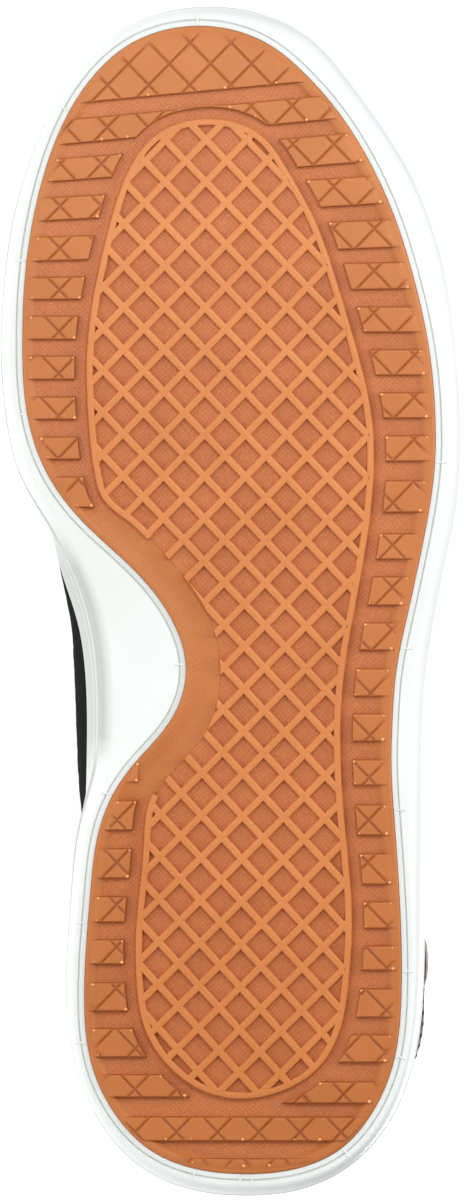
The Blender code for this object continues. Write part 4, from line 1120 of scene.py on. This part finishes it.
def build_cup():
    """The white cup: nest of the gum, lip, groove, rounded corner, ribbed wall, rim and bed."""
    nest = moved_out(gum_ring, GUM_GAP)
    lip = moved_out(gum_ring, SEAT_GAP + LIP_WIDTH)
    run = np.linalg.norm(wall_ring - lip, axis=1)
    out = unit(wall_ring - lip)
    flat = np.maximum(run - CORNER_RUN, LEAST_FLAT)
    rise = ARCH_RISE_SHARE * np.maximum(run - CORNER_RUN, 0.0)
    rings = profile(nest, NEST_EDGE) + profile(lip, GROOVE_EDGE)
    for share in FLAT_SHARES:
        rings.append(raised(lip + out * (flat * share)[:, None], LIP_HEIGHT + rise * share))
    # Painted shade: lip and groove darker, the corner and wall of the arch's hollow darker where they turn
    # from the light with its ribs left lighter, and a thin line on the lowest rib of the inner side
    hollow = np.clip((flat - ARCH_SHADE_FROM) / ARCH_SHADE_RUN, 0, 1)
    rib_line_shade = RIB_LINE_SHADE * (1 - hollow) * np.clip(RIB_LINE_REACH - SIDES, 0, 1)
    unshaded = np.zeros(len(STATIONS))
    painted_shades = [unshaded] * len(rings)
    painted_shades[2:GROOVE_RING] = [LIP_SHADE + ARCH_LIP_SHADE * hollow] * (GROOVE_RING - 2)
    painted_shades[GROOVE_RING] = unshaded + GROOVE_SHADE
    foot = LIP_HEIGHT + rise
    for k in range(CORNER_STEPS + 1):
        angle = math.pi / 2 * k / CORNER_STEPS
        away = flat + (run - flat) * math.sin(angle)
        rings.append(raised(lip + out * away[:, None], foot + (WALL_HEIGHT - foot) * (1 - math.cos(angle))))
        painted_shades.append(hollow * min(1.0, 2 * k / CORNER_STEPS))
    rim_up = level(RIM_TOP, rim_ring[:, 0])
    base, top = raised(wall_ring, WALL_HEIGHT), raised(rim_ring, rim_up)
    proud = np.column_stack([moved_out(wall_ring, RIB_PROUD) - wall_ring, unshaded])
    for k in range(1, WALL_STEPS):
        share = k / WALL_STEPS * WALL_TOP
        stands = sum(math.exp(-((share - middle) / WALL_RIB_HALF) ** 2) for middle in WALL_RIBS)
        rings.append(base + share * (top - base) + stands * proud)
        shade = hollow * (1 - ARCH_SHADE_FADE * share) * (1 - stands)
        painted_shades.append(np.maximum(shade, rib_line_shade) if k in RIB_LINE_STEPS else shade)
    rings += profile(rim_ring, RIM_EDGE, rim_up)
    edge = moved_out(wall_ring, -BED_INSET)
    rings.append(raised(edge, level(BED, edge[:, 0])))
    painted_shades += [unshaded] * (len(rings) - len(painted_shades))
    shape = Shape()
    shape.capped(rings, marks=np.array(painted_shades))
    piece("cup_sole", shape, [WHITE], ["midsole"])


def build_ticks():
    """Thin raised ticks that the mould leaves across the lip."""
    shape = Shape()
    edges = [moved_out(gum_line, away) for away in TICK_ENDS]
    for station in TICK_STATIONS:
        ends = np.array([crossed(station, line) for line in edges])
        way = unit(ends[1] - ends[0])
        side = np.array([-way[1], way[0]])
        shape.grid([raised(ends + side * step.set_in, step.height) for step in TICK_FORM])
    piece("mould_ticks", shape, [WHITE], close=True)


def build_sock_liner():
    edge = moved_out(wall_ring, -BED_INSET - INSOLE_INSET)
    bed = level(BED, edge[:, 0]) + INSOLE_GAP
    shape = Shape()
    shape.capped([raised(edge, bed)] + profile(edge, LINER_EDGE, bed + level(FOOTBED, edge[:, 0])))
    made = piece("sock_liner", shape, [LINER], ["insole"])


# Upper


def rib_columns():
    """Knots and values of the rib table round the whole shoe."""
    knots, values = [], []
    for rib in RIBS:
        knots.append(rib.station)
        values.append((rib.along, rib.outer, rib.up_outer, rib.slope, rib.swell_outer, rib.pad))
    for rib in reversed(RIBS[1:-1]):
        knots.append(STATIONS_ROUND - rib.station)
        values.append((rib.along, rib.inner, rib.up_inner, rib.slope, rib.swell_inner, rib.pad))
    return knots, values


seat_ring = raised(moved_out(rim_ring, -RIM_WALL - SEAT_GAP), level(RIM_TOP, rim_ring[:, 0]) + UPPER_LIFT)
seat = RoundSpline(STATIONS, seat_ring, STATIONS_ROUND)
edge_of = RoundSpline(*rib_columns(), STATIONS_ROUND)


def upper_point(stations, shares):
    """Points of the upper's outer face at stations round the shoe and shares of the rib's height."""
    stations = np.asarray(stations, float)
    v = (np.zeros(len(stations)) + shares)[:, None]
    foot = seat(stations)
    column = edge_of(stations)
    edge, slope = column[:, :3], np.radians(column[:, 3:4])
    swell = column[:, 4:5] * LOW_SWELL * v * (1 - v) ** 2 + column[:, 5:6] * HIGH_SWELL * v ** 3 * (1 - v)
    inward = unit(edge[:, :2] - foot[:, :2])
    pull = RIB_PULL * np.linalg.norm(edge - foot, axis=1)[:, None]
    leave = np.hstack([np.zeros((len(stations), 2)), pull])
    arrive = pull * np.hstack([inward * np.cos(slope), np.sin(slope)])
    out = np.array([ray(s % STATIONS_ROUND)[1] for s in stations])
    bulge = np.hstack([out * swell, np.zeros((len(stations), 1))])
    base = (2 * v ** 3 - 3 * v ** 2 + 1) * foot + (v ** 3 - 2 * v ** 2 + v) * leave
    return base + (3 * v ** 2 - 2 * v ** 3) * edge + (v ** 3 - v ** 2) * arrive + bulge


def upper_normal(stations, shares):
    """Outward directions of the upper's outer face."""
    stations = np.asarray(stations, float)
    shares = np.zeros(len(stations)) + shares
    low, high = np.maximum(shares - SLOPE_STEP, 0.0), np.minimum(shares + SLOPE_STEP, 1.0)
    along = upper_point(stations + SLOPE_STEP, shares) - upper_point(stations - SLOPE_STEP, shares)
    return unit(np.cross(along, upper_point(stations, high) - upper_point(stations, low)))


def creased(points, shares):
    """How far the flex creases push the vamp out or in at points of the upper."""
    pushed = np.zeros(len(points))
    for crease in CREASES:
        off = points[:, 0] - crease.along - crease.lean * (points[:, 1] - CREASE_MIDDLE)
        share = (off / crease.width) ** 2
        pushed -= crease.depth * (1 - share) * np.exp(-share / 2)
    (low, fade_in), (high, fade_out) = CREASE_FADES
    return pushed * np.clip((shares - low) / fade_in, 0, 1) * np.clip((high - shares) / fade_out, 0, 1)


def upper_offset(stations, shares, distance):
    """Points off the upper's outer face, creases included."""
    shares = np.zeros(len(stations)) + shares
    points = upper_point(stations, shares)
    return points + (distance + creased(points, shares))[:, None] * upper_normal(stations, shares)


def share_below_edge(stations, distance):
    """Shares of the rib's height that lie this far below the edge of throat and collar."""
    shares = np.linspace(0, 1, RIB_SAMPLES)
    found = []
    for station in stations:
        below = lengths(upper_point(np.full(len(shares), station), shares)[::-1])
        found.append(np.interp(distance, below, shares[::-1]))
    return np.array(found)


def build_upper():
    """The hollow upper with its lining, rolled edge, hem on the bed and lace holes."""
    shares = np.linspace(0, 1, UPPER_ROWS)
    nap = np.random.default_rng(NAP_SEED).uniform(-NAP, NAP, (len(shares), len(STATIONS)))
    nap *= np.clip((NAP_TOP - shares) / NAP_FADE, 0, 1)[:, None]
    outer = [upper_offset(STATIONS, share, rough) for share, rough in zip(shares, nap)]
    inner = [upper_offset(STATIONS, share, -UPPER_WALL) for share in shares[::-1]]
    middle = (outer[-1] + inner[0]) / 2
    up = unit(upper_point(STATIONS, 1.0) - upper_point(STATIONS, ROLL_FROM)) * UPPER_WALL / 2
    roll = [middle + (outer[-1] - middle) * math.cos(a) + up * math.sin(a) for a in np.radians(ROLL_ANGLES)]
    hem = moved_out(wall_ring, -BED_INSET - BED_CLEARANCE)
    hem_up = level(BED, hem[:, 0]) + BED_CLEARANCE
    low_out, low_in = raised(hem, hem_up), raised(moved_out(hem, -UPPER_WALL), hem_up)
    shape = Shape()
    shape.grid([low_out] + outer + roll + [inner[0]], wrap=True)
    shape.grid(inner + [low_in], slot=1, wrap=True)
    shape.grid([low_in, low_out], slot=1, wrap=True)
    piece("upper_shell", punched(shape.bmesh()), [BLACK, LINING], ["upper"])


def eyelets(side):
    """Stations and shares of one row of lace holes."""
    stations = np.array(EYELET_STATIONS)
    stations = stations if side > 0 else STATIONS_ROUND - stations
    return stations, share_below_edge(stations, EYELET_SET_IN)


def punched(shape):
    """A bmesh on the upper with the lace holes cut."""
    tool = bmesh.new()
    for side in (1, -1):
        stations, shares = eyelets(side)
        for point, out in zip(upper_point(stations, shares), upper_normal(stations, shares)):
            turn = Vector(out).to_track_quat("Z", "Y").to_matrix().to_4x4()
            bmesh.ops.create_cone(
                tool, cap_ends=True, segments=20, radius1=EYELET_RADIUS * MM, radius2=EYELET_RADIUS * MM,
                depth=EYELET_DEPTH * MM, matrix=Matrix.Translation(Vector(point) * MM) @ turn,
            )
    return cut(shape, tool, "DIFFERENCE")


def overlay(stations, low, high, thins=False):
    """A sheet laid on the upper at these stations, between two shares of the rib's height."""
    low, high = low + 0 * stations, high + 0 * stations
    tall = np.linalg.norm(upper_point(stations, high) - upper_point(stations, low), axis=1)
    edge_heights = [s.height for s in OVERLAY_EDGE]
    columns = spans(tall, OVERLAY_EDGE, OVERLAY_EDGE, OVERLAY_STEP)[0]
    share = low[:, None] + (high - low)[:, None] * columns / tall[:, None]
    heights = np.ones(share.shape[1])
    heights[:len(edge_heights)] = edge_heights
    heights[-len(edge_heights):] = edge_heights[::-1]
    run = lengths(upper_point(stations, (low + high) / 2))
    ends = np.interp(np.minimum(run, run[-1] - run), [s.set_in for s in OVERLAY_EDGE], edge_heights)
    if thins:
        ends = ends * THIN_SHARE * np.sqrt(np.clip(1 - np.linspace(-1, 1, len(stations)) ** 2, 0, 1))
    lift = OVERLAY_WALL * np.minimum(heights, ends[:, None])
    every = np.repeat(stations, share.shape[1])
    sheets = [upper_offset(every, share.ravel(), distance) for distance in (lift.ravel(), -OVERLAY_SINK)]
    shape = Shape()
    shape.slab(*(sheet.reshape(*share.shape, 3) for sheet in sheets))
    return shape


def evened(stations, distance):
    """Shares this far below the edge, evened out along the shoe."""
    steps = np.linspace(-EYESTAY_EVEN, EYESTAY_EVEN, 7)
    return np.mean([share_below_edge(stations + step, distance) for step in steps], axis=0)


def counter_top(stations):
    reach = (stations - 3.0) / (3.0 - COUNTER_FRONT)
    return COUNTER_TIP + (COUNTER_TOP - COUNTER_TIP) * (1 - reach ** 2)


def build_overlays():
    stations = np.linspace(-EYESTAY_END, EYESTAY_END, 190)
    shape = overlay(stations, evened(stations, EYESTAY_WIDTH), EYESTAY_TOP)
    piece("eyestay_overlay", punched(shape.bmesh()), [OVERLAY], ["eyestay"])
    stations = np.linspace(COUNTER_FRONT, STATIONS_ROUND - COUNTER_FRONT, 130)
    shape = overlay(stations, COUNTER_LOW, counter_top(stations))
    piece("counter_overlay", shape, [OVERLAY], ["heel_counter"])
    shape = overlay(np.linspace(*PATCH_ENDS, 26), *PATCH_SHARES, thins=True)
    piece("patch_overlay", shape, [BROWN], ["side_patch"])


def add_stitches(shape, stations, shares, lift):
    """A row of stitches on the upper: short fat threads that dip at both ends."""
    path, out = upper_offset(stations, shares, lift), upper_normal(stations, shares)
    steps = lengths(path)
    angles = np.radians(np.arange(0, 360, 60))[:, None]
    for k in range(int(steps[-1] / STITCH_PITCH)):
        at = (k + 0.5) * STITCH_PITCH
        spots = (at - WAY_STEP, at + WAY_STEP)
        back, front = (np.array([np.interp(spot, steps, row) for row in path.T]) for spot in spots)
        way = unit(front - back)
        normal = np.array([np.interp(at, steps, row) for row in out.T])
        circle = np.cos(angles) * unit(np.cross(normal, way)) + np.sin(angles) * normal
        rings = []
        for along, size, rise in STITCH_FORM:
            centre = (back + front) / 2 + way * along * STITCH_LENGTH + normal * rise
            rings.append(centre + circle * size * STITCH_RADIUS)
        shape.grid(rings, wrap=True)


def build_stitches():
    """Rows round the eyestay and below the throat, along the counter, and below the collar."""
    shape = Shape()
    stations = np.linspace(EYESTAY_FREE - EYESTAY_END, EYESTAY_END - EYESTAY_FREE, 260)
    for inset in STITCH_ROWS:
        add_stitches(shape, stations, evened(stations, EYESTAY_WIDTH - inset), OVERLAY_WALL)
    add_stitches(shape, stations, share_below_edge(stations, THROAT_ROW), OVERLAY_WALL)
    front = COUNTER_FRONT + COUNTER_FREE
    stations = np.linspace(front, STATIONS_ROUND - front, 200)
    top = counter_top(stations)
    tall = np.linalg.norm(upper_point(stations, top) - upper_point(stations, COUNTER_LOW), axis=1)
    for inset in STITCH_ROWS:
        add_stitches(shape, stations, top - (top - COUNTER_LOW) * inset / tall, OVERLAY_WALL - STITCH_SINK)
    front = EYESTAY_END + COLLAR_FREE
    stations = np.linspace(front, STATIONS_ROUND - front, 300)
    for inset in COLLAR_ROWS:
        add_stitches(shape, stations, share_below_edge(stations, inset), COLLAR_LIFT)
    piece("stitches", shape, [THREAD], close=True)


# Tongue and laces


def tongue_section(station, sides=9, across=17):
    """A section of the tongue across the throat, from under the outer edge to under the inner one."""
    ends = []
    for at in (station, STATIONS_ROUND - station):
        steps = np.linspace(share_below_edge([at], TONGUE_TUCK)[0], 1.0, sides)
        every = np.full(sides, at)
        ends.append(upper_point(every, steps) - (UPPER_WALL + TONGUE_GAP) * upper_normal(every, steps))
    outer, inner = ends
    share = np.linspace(0, 1, across + 2)[1:-1, None]
    middle = outer[-1] * (1 - share) + inner[-1] * share
    arch = TONGUE_ARCH * min(1.0, (station - TONGUE_START) / TONGUE_ARCH_SPAN)
    middle[:, 2:] += arch * 4 * share * (1 - share)
    return np.vstack([outer, middle, inner[::-1]])


def tongue_sections():
    sections = [tongue_section(s) for s in np.linspace(TONGUE_START, TONGUE_END, 22)]
    front = [sections[0] + np.array([step, 0.0, -step * TONGUE_FRONT_FALL]) for step in TONGUE_FRONT_STEPS]
    last = sections[-1]
    middle = last.mean(axis=0)
    way = unit(middle - tongue_section(TONGUE_BEND).mean(axis=0))
    top = []
    for step in np.linspace(2.0, TONGUE_TOP, 16):
        width = 1 - TONGUE_NARROWING * (step / TONGUE_TOP) ** 8
        top.append(middle + (last - middle) * np.array([1.0, width, 1.0]) + way * step)
    return np.array(front + sections + top)


def build_tongue():
    face = tongue_sections()
    rows_along, columns = face.shape[:2]
    out = unit(np.cross(np.gradient(face, axis=0), np.gradient(face, axis=1)))
    if out[rows_along // 2, columns // 2, 2] < 0:
        out = -out
    side = np.linspace(-1, 1, columns) ** 8
    end = np.linspace(0, 1, rows_along)[:, None] ** 24
    full = np.sqrt(np.clip(1 - np.maximum(side, end), 0, 1))[..., None] * TONGUE_WALL / 2
    shape = Shape()
    shape.slab(face - out * (TONGUE_WALL / 2 - full), face - out * (TONGUE_WALL / 2 + full))
    made = piece("tongue_pad", shape, [TONGUE], ["tongue"], sharp=70.0)


def lace_path(start, end):
    """Points of a lace run from inside an outer eyelet over the tongue to inside an inner one."""
    over = OVERLAY_WALL + LACE_RADIUS + LACE_CLEARANCE + (LACE_OVERLAP if start < end else 0.0)
    outer_at, outer_share = eyelets(1)
    inner_at, inner_share = eyelets(-1)
    first, last = outer_at[start], STATIONS_ROUND - inner_at[end]
    lifts = np.array([*LACE_LIFTS, over - LACE_EASE])
    rise = upper_offset([first] * len(lifts), outer_share[start], lifts)
    fall = upper_offset([inner_at[end]] * len(lifts), inner_share[end], lifts[::-1])
    edges = [0.75 * first + 0.25 * last, STATIONS_ROUND - (0.25 * first + 0.75 * last)]
    outer, inner = upper_offset(edges, 1.0, over + EDGE_LIFT)
    crown = tongue_section((first + last) / 2, 3, 3)[4] + np.array([0.0, 0.0, over + CROWN_LIFT])
    return np.vstack([rise, outer, crown, inner, fall])


def build_laces():
    curve = bpy.data.curves.new("lace_cords", "CURVE")
    curve.dimensions = "3D"
    curve.bevel_depth = LACE_RADIUS * LACE_FLATTENED * MM
    curve.bevel_resolution = 4
    curve.resolution_u = 8
    curve.use_fill_caps = True
    runs = [(0, 0)]
    for k in range(len(EYELET_STATIONS) - 1):
        runs += [(k, k + 1), (k + 1, k)]
    for run in runs:
        path = lace_path(*run)
        line = curve.splines.new("NURBS")
        line.points.add(len(path) - 1)
        line.order_u = 3
        line.use_endpoint_u = True
        for point, at in zip(line.points, path):
            point.co = (*(at * MM), 1.0)
    curve.transform(POSE)
    curve.materials.append(LACE)
    made = placed("lace_cords", curve)
    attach(made, "root")
    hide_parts("laces")


build_plate()
build_arch_floor()
build_lattice()
build_rim()
build_beads(build_lugs())
build_cup()
build_ticks()
build_sock_liner()
build_upper()
build_overlays()
build_stitches()
build_tongue()
build_laces()


# Floor, light and camera


def build_floor():
    mesh = bpy.data.meshes.new("floor")
    corners = [(x * FLOOR_HALF, y * FLOOR_HALF, 0) for x, y in ((-1, -1), (1, -1), (1, 1), (-1, 1))]
    mesh.from_pydata(corners, [], [(0, 1, 2, 3)])
    look = Surface("floor_white", grey(FLOOR_TONE), 0.9, 0.1)
    look.color(look.clouds(300.0, 2.0, grey(FLOOR_TONE), grey(FLOOR_PALE)))
    look.gloss(40.0, 0.85, 0.95)
    look.feed(look.shader, {"Emission Color": (*PURE, 1.0), "Emission Strength": FLOOR_GLOW})
    mesh.materials.append(look.made)
    placed("floor", mesh)


def build_lights():
    world = bpy.data.worlds.new("studio")
    bpy.context.scene.world = world
    world.use_nodes = True
    back = world.node_tree.nodes["Background"]
    back.inputs["Color"].default_value = (*PURE, 1.0)
    back.inputs["Strength"].default_value = SKY
    for lamp in LAMPS:
        light = bpy.data.lights.new(lamp.name, "AREA")
        light.shape = "DISK"
        light.size = lamp.size
        light.energy = lamp.power
        made = placed(lamp.name, light)
        made.location = lamp.place
        made.rotation_mode = "QUATERNION"
        made.rotation_quaternion = (Vector(lamp.place) - Vector(LAMP_AIM)).to_track_quat("Z", "Y")
        made.visible_camera = False


def build_camera():
    tilt = math.radians(VIEW_TILT)
    turn = POSE.to_3x3()
    right = turn @ Vector((0.0, math.cos(tilt), math.sin(tilt)))
    up = turn @ Vector((1.0, 0.0, 0.0))
    back = right.cross(up)
    data = bpy.data.cameras.new("camera")
    data.sensor_fit = "VERTICAL"
    data.sensor_height = SENSOR
    data.sensor_width = SENSOR
    data.lens = SENSOR * VIEW_DISTANCE / (PHOTO_HEIGHT * MM_PER_PIXEL * MM)
    data.clip_start = 0.1
    data.clip_end = VIEW_REACH
    made = placed("camera", data)
    made.rotation_mode = "QUATERNION"
    made.rotation_quaternion = Matrix((right, up, back)).transposed().to_quaternion()
    made.location = POSE @ (Vector(VIEW_MIDDLE) * MM) + back * VIEW_DISTANCE
    bpy.context.scene.camera = made


build_floor()
build_lights()
build_camera()
bpy.context.scene.view_settings.view_transform = "Standard"
